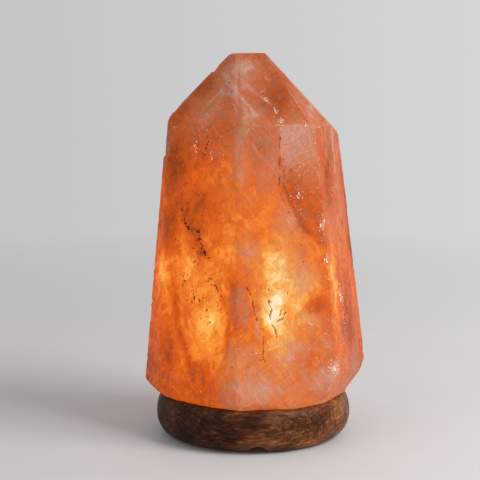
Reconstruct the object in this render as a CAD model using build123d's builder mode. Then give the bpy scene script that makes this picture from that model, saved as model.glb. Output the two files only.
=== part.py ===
from build123d import *
import os
from math import cos, radians, sin, sqrt

# Salt crystal lamp: a hand-hewn block of rock salt on a turned hardwood base, lit from inside.
# A screw-cap bulb stands in a lampholder that is pushed up through the base from below and is
# held there by a spring clip, so it pulls out downwards when the bulb is changed.
#
# Millimetres, +Z up. The origin is on the floor, under the centre of the base. The front is -Y
# and the right-hand side is +X.

os.makedirs("parts", exist_ok=True)

# ---------------------------------------------------------------- fits
snug = 0.05  # radial gap between pieces that are pressed or screwed together
seat_gap = 0.3  # gap where a piece that pulls out rests against its stop

# ---------------------------------------------------------------- foot pads
pad_count = 4
pad_first_angle = 45.0
pad_diameter = 12.0
pad_thickness = 2.5
pad_recess = 1.5
pad_margin = 1.0  # from the pad to the rim of the flat underside
pad_round = 0.5

# ---------------------------------------------------------------- wooden base
base_diameter = 125.0
base_height = 26.3
widest_height = 13.0  # from the underside up to the widest ring
top_round = 5.5  # how far the edge rounding runs in over the top face
underside_round = 9.5  # and in under the base
recess_diameter = 64.0
recess_depth = 13.0
bore_diameter = 40.0
base_chamfer = 1.0
groove_width = 12.9
groove_height = 4.8
groove_offset = 2.4  # the lead groove runs front to back, a little right of the centre

# ---------------------------------------------------------------- screws and anchors
screw_count = 3
screw_diameter = 4.0
screw_length = 45.0
screw_tip = 5.0
screw_head_diameter = 8.0
screw_head_height = 2.6
screw_head_round = 1.0
screw_clearance = 0.25
head_sink = 8.0  # depth of the counterbore
head_clearance = 0.5
recess_to_screw = 3.5  # wood left between the recess and the counterbores
anchor_diameter = 8.0
anchor_length = 28.0
anchor_slit = 1.0
anchor_slit_length = 18.0
anchor_hole_spare = 1.5

# ---------------------------------------------------------------- salt crystal
crystal_height = 217.2
shoulder_height = 172.7  # from the base up to where the side facets meet the crown
rough_radius = 110.0  # of the block before it is hewn
cavity_diameter = 48.0
cavity_depth = 110.0
cavity_tip = 8.0
block_half_width = 50.0

# Each hewn face is given by its compass angle from the front towards the right, its lean back
# from upright, both in degrees, and its reach from the axis as a share of the block's half
# width. The sides and the crown are measured at the shoulder, and the undercut of the foot at
# the bottom of the block.
side_facets = [
    (9, 4.5, 0.890),
    (64, 6.6, 1.016),
    (73, 5.8, 1.027),
    (94, 7.8, 1.067),
    (132, 8.0, 0.990),
    (178, 5.0, 0.940),
    (-126, 6.5, 0.790),
    (-66, 3.3, 1.086),
    (-38, 4.0, 0.848),
]
crown_facets = [
    (8, 39.5, 0.906),
    (62, 43.0, 1.020),
    (88, 42.8, 0.970),
    (132, 43.0, 0.910),
    (178, 42.0, 0.940),
    (-126, 40.0, 0.900),
    (-74, 42.2, 1.142),
    (-40, 32.0, 0.856),
]
foot_facets = [
    (8, -30, 1.120),
    (36, -33, 1.150),
    (64, -29, 1.132),
    (94, -41, 1.166),
    (130, -35, 1.150),
    (178, -33, 1.120),
    (-128, -36, 1.150),
    (-82, -61, 1.166),
    (-52, -44, 1.136),
    (-24, -38, 1.120),
]

# ---------------------------------------------------------------- holder: bar, clip and nipple
bar_width = 14.0
bar_thickness = 1.0
bar_lap = 6.0  # how far the bar reaches under the wood beyond the bore
clip_width = 10.0
clip_thickness = 0.6
clip_height = 27.0
clip_belly_height = 12.0
clip_belly = 2.6  # how far the arms belly out, and draw in again at their tips
clip_bend = 1.5
nipple_diameter = 10.0
nipple_bore = 7.2
nipple_below_nut = 1.6
nipple_above_floor = 3.0
nut_height = 3.0
nut_width = 14.0

# ---------------------------------------------------------------- holder: cap and sleeve
holder_diameter = 27.0
cap_height = 21.7
cap_floor = 2.5
cap_wall = 1.8
cap_ledge = 1.5  # width of the ledge that the contact carrier stands on
cap_round = 2.5
rib_count = 16
rib_radius = 0.6
rib_margin = 4.0
sleeve_height = 28.0
sleeve_draft = 0.8  # the sleeve is this much slimmer at its mouth, on the radius
sleeve_mouth_diameter = 17.2
sleeve_round = 1.2
spigot_length = 6.0
spigot_wall = 1.6

# ---------------------------------------------------------------- holder: contacts
carrier_disc = 3.0
pedestal_height = 16.5
pedestal_clearance = 0.8
shell_bore = 14.1
shell_thickness = 0.4
shell_length = 16.0
shell_ledge = 2.2  # how far the bottom of the screw shell is turned in
shell_lip = 0.5
contact_thickness = 0.4
contact_width = 3.0
contact_bend = 0.5
contact_rise = 1.3
centre_leg_offset = 3.4
side_leg_offset = 6.2
slot_clearance = 0.15
terminal_width = 5.0
terminal_depth = 6.0
terminal_height = 5.5
terminal_gap = 6.2  # between the two blocks, where the two wires come up
wire_hole = 2.4
terminal_screw_diameter = 2.5
terminal_screw_length = 3.2
terminal_head_diameter = 4.0
terminal_head_height = 1.2

# ---------------------------------------------------------------- bulb
bulb_clearance = 0.2  # between the bulb's contact and the centre contact
bulb_length = 60.0
bulb_diameter = 28.0
barrel_clearance = 0.3
barrel_length = 14.0
cap_metal = 0.3
skirt_diameter = 17.0
flare_height = 2.5
skirt_height = 5.0
button_diameter = 4.4
button_height = 0.8
insulator_height = 2.2
insulator_gap = 0.1
cement_gap = 0.25
glass_wall = 0.7
neck_height = 5.0
stem_flange = 1.2
stem_cone = 6.0
stem_length = 16.0
stem_diameter = 4.4
lead_diameter = 0.7
lead_spacing = 2.4  # where the two wires leave the stem
lead_straight = 1.5
lead_bend = 1.0
filament_span = 12.0
filament_rise = 3.0
filament_diameter = 0.9
filament_height = 44.0  # of the filament's ends above the bulb's contact
filament_gap = 0.1
support_diameter = 0.5

# ---------------------------------------------------------------- heights worked out from these
underside = pad_thickness - pad_recess
base_top = underside + base_height
ceiling = underside + recess_depth
bar_top = ceiling - seat_gap
cap_bottom = bar_top + clip_thickness
cap_top = cap_bottom + cap_height
disc_top = cap_top - spigot_length
disc_bottom = disc_top - carrier_disc
pedestal_top = disc_top + pedestal_height
sleeve_top = cap_top + sleeve_height
bulb_bottom = pedestal_top + contact_rise + bulb_clearance
barrel_bottom = bulb_bottom + button_height + insulator_height
barrel_top = barrel_bottom + barrel_length
skirt_bottom = barrel_top + flare_height
skirt_top = skirt_bottom + skirt_height
bulb_tip = bulb_bottom + bulb_length

# ---------------------------------------------------------------- radii worked out from these
base_radius = base_diameter / 2
recess_radius = recess_diameter / 2
bore_radius = bore_diameter / 2
counterbore_radius = screw_head_diameter / 2 + head_clearance
screw_circle = recess_radius + recess_to_screw + counterbore_radius
pad_circle = base_radius - underside_round - pad_margin - pad_diameter / 2
nipple_radius = nipple_diameter / 2
holder_radius = holder_diameter / 2
spigot_radius = holder_radius - cap_wall - snug
spigot_bore_radius = spigot_radius - spigot_wall
shell_bore_radius = shell_bore / 2
barrel_radius = shell_bore_radius - barrel_clearance
skirt_radius = skirt_diameter / 2
neck_radius = skirt_radius - cap_metal - cement_gap
bulb_radius = bulb_diameter / 2


def polar(radius, angle, height):
    """Point at a radius, an angle from +X and a height."""
    return (radius * cos(radians(angle)), radius * sin(radians(angle)), height)


def hewn_face(angle, lean, reach, height):
    """Plane of one facet of the block, facing outwards; its reach is a share of the half width."""
    outwards = Vector(sin(radians(angle)), -cos(radians(angle)), 0)
    normal = outwards * cos(radians(lean)) + Vector(0, 0, sin(radians(lean)))
    return Plane(origin=outwards * block_half_width * reach + Vector(0, 0, height), z_dir=normal)


# ================================================================ wooden base
# Turned from one disc: a half section with elliptical roundings above and below the widest
# ring, a recess under it and a bore through the middle.
groove_radius = (groove_width**2 / 4 + groove_height**2) / (2 * groove_height)
widest = underside + widest_height

with BuildPart() as wooden_base:
    with BuildSketch(Plane.XZ):
        with BuildLine():
            under_centre = (base_radius - underside_round, widest)
            over_centre = (base_radius - top_round, widest)
            Line((recess_radius, underside), (base_radius - underside_round, underside))
            EllipticalCenterArc(under_centre, underside_round, widest_height, -90, arc_size=90)
            EllipticalCenterArc(over_centre, top_round, base_height - widest_height, 0, arc_size=90)
            Polyline(
                (base_radius - top_round, base_top),
                (bore_radius, base_top),
                (bore_radius, ceiling),
                (recess_radius, ceiling),
                (recess_radius, underside),
            )
        make_face()
    revolve(axis=Axis.Z)
    inner_rings = wooden_base.edges().filter_by(GeomType.CIRCLE)
    recess_mouth = inner_rings.filter_by(lambda ring: abs(ring.radius - recess_radius) < snug)
    chamfer(recess_mouth.sort_by(Axis.Z)[0], base_chamfer)
    bore_rings = inner_rings.filter_by(lambda ring: abs(ring.radius - bore_radius) < snug)
    chamfer(bore_rings.sort_by(Axis.Z)[0], base_chamfer)
    with BuildSketch(Plane.XZ):
        with Locations((groove_offset, underside + groove_height - groove_radius)):
            Circle(groove_radius)
    extrude(amount=base_radius, both=True, mode=Mode.SUBTRACT)
    with BuildSketch(Plane.XY.offset(underside)):
        with PolarLocations(pad_circle, pad_count, pad_first_angle):
            Circle(pad_diameter / 2 + snug)
    extrude(amount=pad_recess, mode=Mode.SUBTRACT)
    with BuildSketch(Plane.XY.offset(underside)):
        with PolarLocations(screw_circle, screw_count):
            Circle(counterbore_radius)
    extrude(amount=head_sink, mode=Mode.SUBTRACT)
    with BuildSketch(Plane.XY.offset(underside)):
        with PolarLocations(screw_circle, screw_count):
            Circle(screw_diameter / 2 + screw_clearance)
    extrude(amount=base_height, mode=Mode.SUBTRACT)
wooden_base.part.label = "wooden_base"
export_step(wooden_base.part, "parts/wooden_base.step")

# ================================================================ foot pads
for number in range(pad_count):
    pad_angle = pad_first_angle + number * 360 / pad_count
    with BuildPart() as foot_pad:
        with Locations(polar(pad_circle, pad_angle, 0)):
            Cylinder(pad_diameter / 2, pad_thickness, align=(Align.CENTER, Align.CENTER, Align.MIN))
        fillet(foot_pad.edges().group_by(Axis.Z)[0], pad_round)
    foot_pad.part.label = f"foot_pad_{number + 1}"
    export_step(foot_pad.part, f"parts/foot_pad_{number + 1}.step")

# ================================================================ salt crystal
# The rough block is hewn face by face, then bored from below for the bulb and the anchors.
shoulder = base_top + shoulder_height
cavity_radius = cavity_diameter / 2
cavity_top = base_top + cavity_depth

with BuildPart() as salt_crystal:
    with BuildSketch(Plane.XY.offset(base_top)):
        Circle(rough_radius)
    extrude(amount=crystal_height)
    for angle, lean, reach in side_facets + crown_facets:
        split(bisect_by=hewn_face(angle, lean, reach, shoulder), keep=Keep.BOTTOM)
    for angle, lean, reach in foot_facets:
        split(bisect_by=hewn_face(angle, lean, reach, base_top), keep=Keep.BOTTOM)
    with BuildSketch(Plane.XZ):
        with BuildLine():
            Polyline(
                (0, base_top),
                (cavity_radius, base_top),
                (cavity_radius, cavity_top - cavity_tip),
                (0, cavity_top),
                close=True,
            )
        make_face()
    revolve(axis=Axis.Z, mode=Mode.SUBTRACT)
    with BuildSketch(Plane.XY.offset(base_top)):
        with PolarLocations(screw_circle, screw_count):
            Circle(anchor_diameter / 2 + snug)
    extrude(amount=anchor_length + anchor_hole_spare, mode=Mode.SUBTRACT)
salt_crystal.part.label = "salt_crystal"
export_step(salt_crystal.part, "parts/salt_crystal.step")

# ================================================================ screws and anchors
# Pan-head screws come up through the counterbores into slit anchors that are let into the salt.
head_seat = underside + head_sink
upwards = (Align.CENTER, Align.CENTER, Align.MIN)
downwards = (Align.CENTER, Align.CENTER, Align.MAX)

for number in range(screw_count):
    screw_angle = number * 360 / screw_count
    with BuildPart() as base_screw:
        with Locations(polar(screw_circle, screw_angle, head_seat)):
            Cylinder(screw_head_diameter / 2, screw_head_height, align=downwards)
        fillet(base_screw.edges().group_by(Axis.Z)[0], screw_head_round)
        with Locations(polar(screw_circle, screw_angle, head_seat)):
            Cylinder(screw_diameter / 2, screw_length - screw_tip, align=upwards)
        with Locations(polar(screw_circle, screw_angle, head_seat + screw_length - screw_tip)):
            Cone(screw_diameter / 2, screw_diameter / 8, screw_tip, align=upwards)
    base_screw.part.label = f"base_screw_{number + 1}"
    export_step(base_screw.part, f"parts/base_screw_{number + 1}.step")

    with BuildPart() as screw_anchor:
        with Locations(polar(screw_circle, screw_angle, base_top)):
            Cylinder(anchor_diameter / 2, anchor_length, align=upwards)
            Cylinder(screw_diameter / 2 + snug, anchor_length, align=upwards, mode=Mode.SUBTRACT)
        with Locations(polar(screw_circle, screw_angle, base_top + anchor_length)):
            Box(anchor_diameter, anchor_slit, anchor_slit_length, align=downwards, mode=Mode.SUBTRACT)
    screw_anchor.part.label = f"screw_anchor_{number + 1}"
    export_step(screw_anchor.part, f"parts/screw_anchor_{number + 1}.step")

# ================================================================ stop bar
# A flat steel bar with round ends. Its ends come up against the wood round the bore.
with BuildPart() as stop_bar:
    with BuildSketch(Plane.XY.offset(bar_top)):
        SlotOverall(bore_diameter + 2 * bar_lap, bar_width)
        Circle(nipple_radius + snug, mode=Mode.SUBTRACT)
    extrude(amount=-bar_thickness)
stop_bar.part.label = "stop_bar"
export_step(stop_bar.part, "parts/stop_bar.step")

# ================================================================ spring clip
# One strip of spring steel with a round eye in the middle, bent up on both sides. The arms belly
# out to the wall of the bore and draw in again at their tips, so the holder can be pushed in.
clip_line = bar_top + clip_thickness / 2
clip_reach = sqrt((bore_radius - seat_gap) ** 2 - (clip_width / 2) ** 2) - clip_thickness / 2

with BuildPart() as spring_clip:
    with BuildSketch(Plane.XZ):
        with BuildLine():
            FilletPolyline(
                (clip_belly - clip_reach, bar_top + clip_height),
                (-clip_reach, bar_top + clip_belly_height),
                (clip_belly - clip_reach, clip_line),
                (clip_reach - clip_belly, clip_line),
                (clip_reach, bar_top + clip_belly_height),
                (clip_reach - clip_belly, bar_top + clip_height),
                radius=clip_bend,
            )
        trace(line_width=clip_thickness)
    extrude(amount=clip_width / 2, both=True)
    with Locations((0, 0, clip_line)):
        Cylinder(bar_width / 2, clip_thickness)
        Cylinder(nipple_radius + snug, clip_thickness, mode=Mode.SUBTRACT)
spring_clip.part.label = "spring_clip"
export_step(spring_clip.part, "parts/spring_clip.step")

# ================================================================ lead nipple and its nut
# The hollow nipple is screwed into the floor of the holder cap. The nut below clamps the bar
# and the clip against the cap, and the lead comes up through the nipple.
nut_bottom = bar_top - bar_thickness - nut_height
nipple_bottom = nut_bottom - nipple_below_nut
nipple_top = cap_bottom + cap_floor + nipple_above_floor

with BuildPart() as lead_nipple:
    with BuildSketch(Plane.XY.offset(nipple_bottom)):
        Circle(nipple_radius)
        Circle(nipple_bore / 2, mode=Mode.SUBTRACT)
    extrude(amount=nipple_top - nipple_bottom)
lead_nipple.part.label = "lead_nipple"
export_step(lead_nipple.part, "parts/lead_nipple.step")

with BuildPart() as nipple_nut:
    with BuildSketch(Plane.XY.offset(nut_bottom)):
        RegularPolygon(nut_width / 2, 6, major_radius=False)
        Circle(nipple_radius + snug, mode=Mode.SUBTRACT)
    extrude(amount=nut_height)
nipple_nut.part.label = "nipple_nut"
export_step(nipple_nut.part, "parts/nipple_nut.step")

# ================================================================ holder cap
# A cup with grip ribs. Inside, a ledge carries the contact carrier.
ledge_radius = holder_radius - cap_wall - cap_ledge
floor_top = cap_bottom + cap_floor

with BuildPart() as holder_cap:
    with BuildSketch(Plane.XZ):
        with BuildLine():
            Polyline(
                (nipple_radius + snug, cap_bottom),
                (holder_radius, cap_bottom),
                (holder_radius, cap_top),
                (holder_radius - cap_wall, cap_top),
                (holder_radius - cap_wall, disc_bottom),
                (ledge_radius, disc_bottom),
                (ledge_radius, floor_top),
                (nipple_radius + snug, floor_top),
                close=True,
            )
        make_face()
    revolve(axis=Axis.Z)
    cap_rings = holder_cap.edges().filter_by(GeomType.CIRCLE)
    fillet(cap_rings.group_by(Axis.Z)[0].sort_by(SortBy.RADIUS)[-1], cap_round)
    with BuildSketch(Plane.XY.offset(cap_bottom + rib_margin)):
        with PolarLocations(holder_radius, rib_count):
            Circle(rib_radius)
        Circle(holder_radius - cap_wall / 2, mode=Mode.SUBTRACT)
    extrude(amount=cap_height - 2 * rib_margin)
holder_cap.part.label = "holder_cap"
export_step(holder_cap.part, "parts/holder_cap.step")

# ================================================================ holder sleeve
# The sleeve screws into the cap with its spigot and clamps the contact carrier. Its mouth
# narrows to a collar round the screw shell.
with BuildPart() as holder_sleeve:
    with BuildSketch(Plane.XZ):
        with BuildLine():
            Polyline(
                (spigot_bore_radius, disc_top),
                (spigot_radius, disc_top),
                (spigot_radius, cap_top),
                (holder_radius, cap_top),
                (holder_radius - sleeve_draft, sleeve_top),
                (sleeve_mouth_diameter / 2, sleeve_top),
                (sleeve_mouth_diameter / 2, pedestal_top + shell_thickness),
                (spigot_bore_radius, pedestal_top + shell_thickness),
                close=True,
            )
        make_face()
    revolve(axis=Axis.Z)
    fillet(holder_sleeve.edges().group_by(Axis.Z)[-1], sleeve_round)
holder_sleeve.part.label = "holder_sleeve"
export_step(holder_sleeve.part, "parts/holder_sleeve.step")

# ================================================================ contact carrier
# A disc on the cap's ledge with a pedestal above it. Two slots let the contacts down to the
# terminal blocks.
slot_thickness = contact_thickness + 2 * slot_clearance
slot_width = contact_width + 2 * slot_clearance

with BuildPart() as contact_carrier:
    with BuildSketch(Plane.XY.offset(disc_bottom)):
        Circle(spigot_radius)
    extrude(amount=carrier_disc)
    with BuildSketch(Plane.XY.offset(disc_top)):
        Circle(spigot_bore_radius - pedestal_clearance)
    extrude(amount=pedestal_height)
    with BuildSketch(Plane.XY.offset(disc_bottom)):
        with Locations((centre_leg_offset, 0), (-side_leg_offset, 0)):
            Rectangle(slot_thickness, slot_width)
    extrude(amount=carrier_disc + pedestal_height, mode=Mode.SUBTRACT)
contact_carrier.part.label = "contact_carrier"
export_step(contact_carrier.part, "parts/contact_carrier.step")

# ================================================================ screw shell
# A thin sleeve on the pedestal, turned in at the bottom and rolled out at its lip.
shell_line = shell_bore_radius + shell_thickness / 2

with BuildPart() as screw_shell:
    with BuildSketch(Plane.XZ):
        with BuildLine():
            FilletPolyline(
                (shell_bore_radius - shell_ledge, pedestal_top + shell_thickness / 2),
                (shell_line, pedestal_top + shell_thickness / 2),
                (shell_line, pedestal_top + shell_length - 2 * shell_lip),
                (shell_line + shell_lip, pedestal_top + shell_length),
                radius=shell_lip,
            )
        trace(line_width=shell_thickness)
    revolve(axis=Axis.Z)
screw_shell.part.label = "screw_shell"
export_step(screw_shell.part, "parts/screw_shell.step")

# ================================================================ contacts
# The centre contact is a strip that comes up through the pedestal and arches over its middle.
# The side contact is a straight strip between its terminal block and the screw shell.
contact_line = pedestal_top + contact_rise - contact_thickness / 2

with BuildPart() as centre_contact:
    with BuildSketch(Plane.XZ):
        with BuildLine():
            FilletPolyline(
                (centre_leg_offset, disc_bottom),
                (centre_leg_offset, pedestal_top + contact_rise / 2),
                (0, contact_line),
                (-centre_leg_offset, pedestal_top + contact_thickness),
                radius=contact_bend,
            )
        trace(line_width=contact_thickness)
    extrude(amount=contact_width / 2, both=True)
centre_contact.part.label = "centre_contact"
export_step(centre_contact.part, "parts/centre_contact.step")

with BuildPart() as side_contact:
    with BuildSketch(Plane.XY.offset(disc_bottom)):
        with Locations((-side_leg_offset, 0)):
            Rectangle(contact_thickness, contact_width)
    extrude(amount=pedestal_top - disc_bottom)
side_contact.part.label = "side_contact"
export_step(side_contact.part, "parts/side_contact.step")

# ================================================================ terminals
# Two blocks hang under the carrier, each with a cross hole for a wire and a clamping screw
# from its outer side.
terminal_inner = terminal_gap / 2
terminal_outer = terminal_inner + terminal_width
terminal_middle = disc_bottom - terminal_height / 2

for number, side in ((1, 1), (2, -1)):
    with BuildPart() as terminal_block:
        with Locations((side * (terminal_inner + terminal_outer) / 2, 0, terminal_middle)):
            Box(terminal_width, terminal_depth, terminal_height)
            Cylinder(wire_hole / 2, terminal_depth, rotation=(90, 0, 0), mode=Mode.SUBTRACT)
        with Locations((side * (terminal_outer - terminal_screw_length / 2), 0, terminal_middle)):
            Cylinder(
                terminal_screw_diameter / 2 + snug,
                terminal_screw_length,
                rotation=(0, 90, 0),
                mode=Mode.SUBTRACT,
            )
    terminal_block.part.label = f"terminal_block_{number}"
    export_step(terminal_block.part, f"parts/terminal_block_{number}.step")

    with BuildPart() as terminal_screw:
        with Locations((side * (terminal_outer - terminal_screw_length / 2), 0, terminal_middle)):
            Cylinder(terminal_screw_diameter / 2, terminal_screw_length, rotation=(0, 90, 0))
        with Locations((side * (terminal_outer + terminal_head_height / 2), 0, terminal_middle)):
            Cylinder(terminal_head_diameter / 2, terminal_head_height, rotation=(0, 90, 0))
    terminal_screw.part.label = f"terminal_screw_{number}"
    export_step(terminal_screw.part, f"parts/terminal_screw_{number}.step")

# ================================================================ bulb: cap, insulator, contact
# The cap is a thin barrel that flares to a skirt round the neck of the glass.
barrel_line = barrel_radius - cap_metal / 2
skirt_line = skirt_radius - cap_metal / 2

with BuildPart() as bulb_cap:
    with BuildSketch(Plane.XZ):
        with BuildLine():
            Polyline(
                (barrel_line, barrel_bottom),
                (barrel_line, barrel_top),
                (skirt_line, skirt_bottom),
                (skirt_line, skirt_top),
            )
        trace(line_width=cap_metal)
    revolve(axis=Axis.Z)
bulb_cap.part.label = "bulb_cap"
export_step(bulb_cap.part, "parts/bulb_cap.step")

insulator_top_radius = barrel_radius - cap_metal - insulator_gap

with BuildPart() as bulb_insulator:
    with BuildSketch(Plane.XZ):
        with BuildLine():
            Polyline(
                (0, barrel_bottom - insulator_height),
                (button_diameter / 2, barrel_bottom - insulator_height),
                (insulator_top_radius, barrel_bottom),
                (insulator_top_radius, barrel_bottom + insulator_height),
                (0, barrel_bottom + insulator_height),
                close=True,
            )
        make_face()
    revolve(axis=Axis.Z)
bulb_insulator.part.label = "bulb_insulator"
export_step(bulb_insulator.part, "parts/bulb_insulator.step")

with BuildPart() as bulb_contact:
    with BuildSketch(Plane.XY.offset(bulb_bottom)):
        Circle(button_diameter / 2)
    extrude(amount=button_height)
    fillet(bulb_contact.edges().group_by(Axis.Z)[0], button_height / 2)
bulb_contact.part.label = "bulb_contact"
export_step(bulb_contact.part, "parts/bulb_contact.step")

# ================================================================ bulb: glass and stem
# The envelope is blown: a straight neck, a swelling shoulder and a half-round crown. It stays
# open at the neck, where the flange of the stem closes it.
neck_bottom = skirt_bottom + cement_gap
neck_top = skirt_bottom + neck_height
crown_centre = bulb_tip - bulb_radius
inner_neck_radius = neck_radius - glass_wall
inner_bulb_radius = bulb_radius - glass_wall

with BuildPart() as bulb_glass:
    with BuildSketch(Plane.XZ):
        with BuildLine():
            Line((neck_radius, neck_bottom), (neck_radius, neck_top))
            Spline((neck_radius, neck_top), (bulb_radius, crown_centre), tangents=((0, 1), (0, 1)))
            CenterArc((0, crown_centre), bulb_radius, 0, 90)
            Line((0, bulb_tip), (0, bulb_tip - glass_wall))
            CenterArc((0, crown_centre), inner_bulb_radius, 0, 90)
            Spline(
                (inner_neck_radius, neck_top),
                (inner_bulb_radius, crown_centre),
                tangents=((0, 1), (0, 1)),
            )
            Polyline(
                (inner_neck_radius, neck_top),
                (inner_neck_radius, neck_bottom),
                (neck_radius, neck_bottom),
            )
        make_face()
    revolve(axis=Axis.Z)
bulb_glass.part.label = "bulb_glass"
export_step(bulb_glass.part, "parts/bulb_glass.step")

stem_radius = stem_diameter / 2
stem_top = neck_bottom + stem_length

with BuildPart() as bulb_stem:
    with BuildSketch(Plane.XZ):
        with BuildLine():
            Polyline(
                (0, neck_bottom),
                (inner_neck_radius - snug, neck_bottom),
                (inner_neck_radius - snug, neck_bottom + stem_flange),
                (stem_radius, neck_bottom + stem_flange + stem_cone),
                (stem_radius, stem_top),
                (0, stem_top),
                close=True,
            )
        make_face()
    revolve(axis=Axis.Z)
bulb_stem.part.label = "bulb_stem"
export_step(bulb_stem.part, "parts/bulb_stem.step")

# ================================================================ bulb: wires and filament
# Two wires rise from the stem and spread to the ends of the filament, which bows upwards over
# a thin support.
filament_end = bulb_bottom + filament_height
half_span = filament_span / 2
wire_end = filament_end - filament_diameter / 2 - filament_gap

with BuildPart() as lead_wires:
    for side in (1, -1):
        with BuildLine():
            FilletPolyline(
                (side * lead_spacing / 2, 0, stem_top),
                (side * lead_spacing / 2, 0, stem_top + lead_straight),
                (side * half_span, 0, wire_end),
                radius=lead_bend,
            )
        with BuildSketch(Plane.XY.offset(stem_top)):
            with Locations((side * lead_spacing / 2, 0)):
                Circle(lead_diameter / 2)
        sweep()
lead_wires.part.label = "lead_wires"
export_step(lead_wires.part, "parts/lead_wires.step")

with BuildPart() as filament:
    with BuildLine() as filament_bow:
        ThreePointArc(
            (-half_span, 0, filament_end),
            (0, 0, filament_end + filament_rise),
            (half_span, 0, filament_end),
        )
    with BuildSketch(Plane(filament_bow.line @ 0, z_dir=filament_bow.line % 0)):
        Circle(filament_diameter / 2)
    sweep()
filament.part.label = "filament"
export_step(filament.part, "parts/filament.step")

support_top = filament_end + filament_rise - filament_diameter / 2 - filament_gap

with BuildPart() as filament_support:
    with BuildSketch(Plane.XY.offset(stem_top)):
        Circle(support_diameter / 2)
    extrude(amount=support_top - stem_top)
filament_support.part.label = "filament_support"
export_step(filament_support.part, "parts/filament_support.step")
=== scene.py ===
# %% [markdown]
# # A rock salt lamp
#
# The real object is one block of orange rock salt, hewn to long leaning facets with a faceted
# crown, standing on a turned and dark-stained wooden base. A small bulb burns in a cavity inside.
# This lesson dresses the fixed frame of solids: the pieces that are remade are worked out as
# surfaces with numpy, the rest keep their shape, and each finish is a tree of shader nodes.

# %% Load the fixed frame
import math

import bpy
import numpy as np
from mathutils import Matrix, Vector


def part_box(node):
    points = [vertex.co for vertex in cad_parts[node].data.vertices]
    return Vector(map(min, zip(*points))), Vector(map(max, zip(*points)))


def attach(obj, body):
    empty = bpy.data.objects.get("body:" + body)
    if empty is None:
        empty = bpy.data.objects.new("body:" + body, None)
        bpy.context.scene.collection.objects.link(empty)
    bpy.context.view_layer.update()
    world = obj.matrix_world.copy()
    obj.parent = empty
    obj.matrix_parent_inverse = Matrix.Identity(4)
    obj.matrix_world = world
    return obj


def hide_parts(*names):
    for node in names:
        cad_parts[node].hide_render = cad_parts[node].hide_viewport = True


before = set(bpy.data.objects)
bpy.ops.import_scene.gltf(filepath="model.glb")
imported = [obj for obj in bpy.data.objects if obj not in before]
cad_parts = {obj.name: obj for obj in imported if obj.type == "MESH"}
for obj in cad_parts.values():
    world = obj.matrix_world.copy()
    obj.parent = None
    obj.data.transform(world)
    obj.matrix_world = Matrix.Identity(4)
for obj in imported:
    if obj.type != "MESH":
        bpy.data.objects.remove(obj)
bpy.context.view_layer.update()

# %% Units and the heights that every piece shares
MM = 0.001
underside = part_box("wooden_base")[0].z
base_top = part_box("wooden_base")[1].z
crystal_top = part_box("salt_crystal")[1].z
base_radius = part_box("wooden_base")[1].x
print(f"wood from {underside:.4f} to {base_top:.4f}, salt up to {crystal_top:.4f}")

# %% [markdown]
# ## Camera
#
# The photograph was taken from the height of the crystal's top, looking a little down. The
# position and lens below were fitted to the outline of the wooden base and to the corners of the
# facets, so that each ridge falls where the photograph has it.

# %% Camera
lens_camera = bpy.data.cameras.new("viewpoint")
lens_camera.lens = 108.62
lens_camera.sensor_width = 36.0
viewpoint = bpy.data.objects.new("viewpoint", lens_camera)
viewpoint.location = (-8.555 * MM, -920 * MM, 252 * MM)
looks_down = 7.852
viewpoint.rotation_euler = (math.radians(90 - looks_down), 0, 0)
scene = bpy.context.scene
scene.collection.objects.link(viewpoint)
scene.camera = viewpoint
print("camera looks down by", looks_down, "degrees from", tuple(round(v, 3) for v in viewpoint.location))

# %% [markdown]
# ## Numbers that look like nature
#
# Stone and wood vary at many sizes at once. A value noise does this: a fixed random number at each
# corner of a grid of cubes, and a smooth blend between the corners. Layers of it, each half as
# large and half as strong as the one before, give clouds, grain and chipped edges.

# %% Value noise in three dimensions
def corner_number(cell, seed):
    """A fixed number from 0 to 1 for each whole-number cell: its three indices are mixed by
    multiplying with large odd numbers, exclusive-or, and a shift."""
    mixed = cell[..., 0] * 73856093 ^ cell[..., 1] * 19349663 ^ cell[..., 2] * 83492791 ^ seed * 26544357
    mixed = (mixed ^ (mixed >> 13)) * 1274126177 & 0xFFFFFFFF
    mixed = (mixed ^ (mixed >> 15)) * 2246822519 & 0xFFFFFFFF
    return ((mixed ^ (mixed >> 16)) & 0xFFFFFF) / 0xFFFFFF


def cloud(points, size, layers=1, seed=1):
    """Layered value noise, about 0 to 1 with its mean at one half. size is the width of the largest
    cells in mm (one number, or one for each axis). Between corners the blend is 3t^2 - 2t^3."""
    total, weight = 0.0, 0.0
    for layer in range(layers):
        place = points / (np.asarray(size) * MM * 0.5**layer) + 17.3 * layer
        cell = np.floor(place).astype(np.int64)
        t = place - cell
        t = t * t * (3 - 2 * t)
        value = 0.0
        for corner in np.ndindex(2, 2, 2):
            share = np.prod(np.where(np.array(corner), t, 1 - t), axis=-1)
            value = value + share * corner_number(cell + np.array(corner), seed + layer)
        total, weight = total + value * 0.5**layer, weight + 0.5**layer
    return total / weight


def ease(low, high, value):
    """0 below low, 1 above high, and 3t^2 - 2t^3 between them."""
    t = np.clip((value - low) / (high - low), 0, 1)
    return t * t * (3 - 2 * t)


sample = cloud(np.random.default_rng(3).uniform(0, 1, (4000, 3)), 50, 4)
print(f"noise runs from {sample.min():.2f} to {sample.max():.2f}, mean {sample.mean():.2f}")

# %% [markdown]
# ## From a grid of points to a mesh
#
# Every new surface here is a grid: rows run up the outside of the piece, columns run round it
# anticlockwise as seen from above. With that order each face points outwards. A row whose points
# all meet becomes one pole, so that the surface is closed there.

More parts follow.
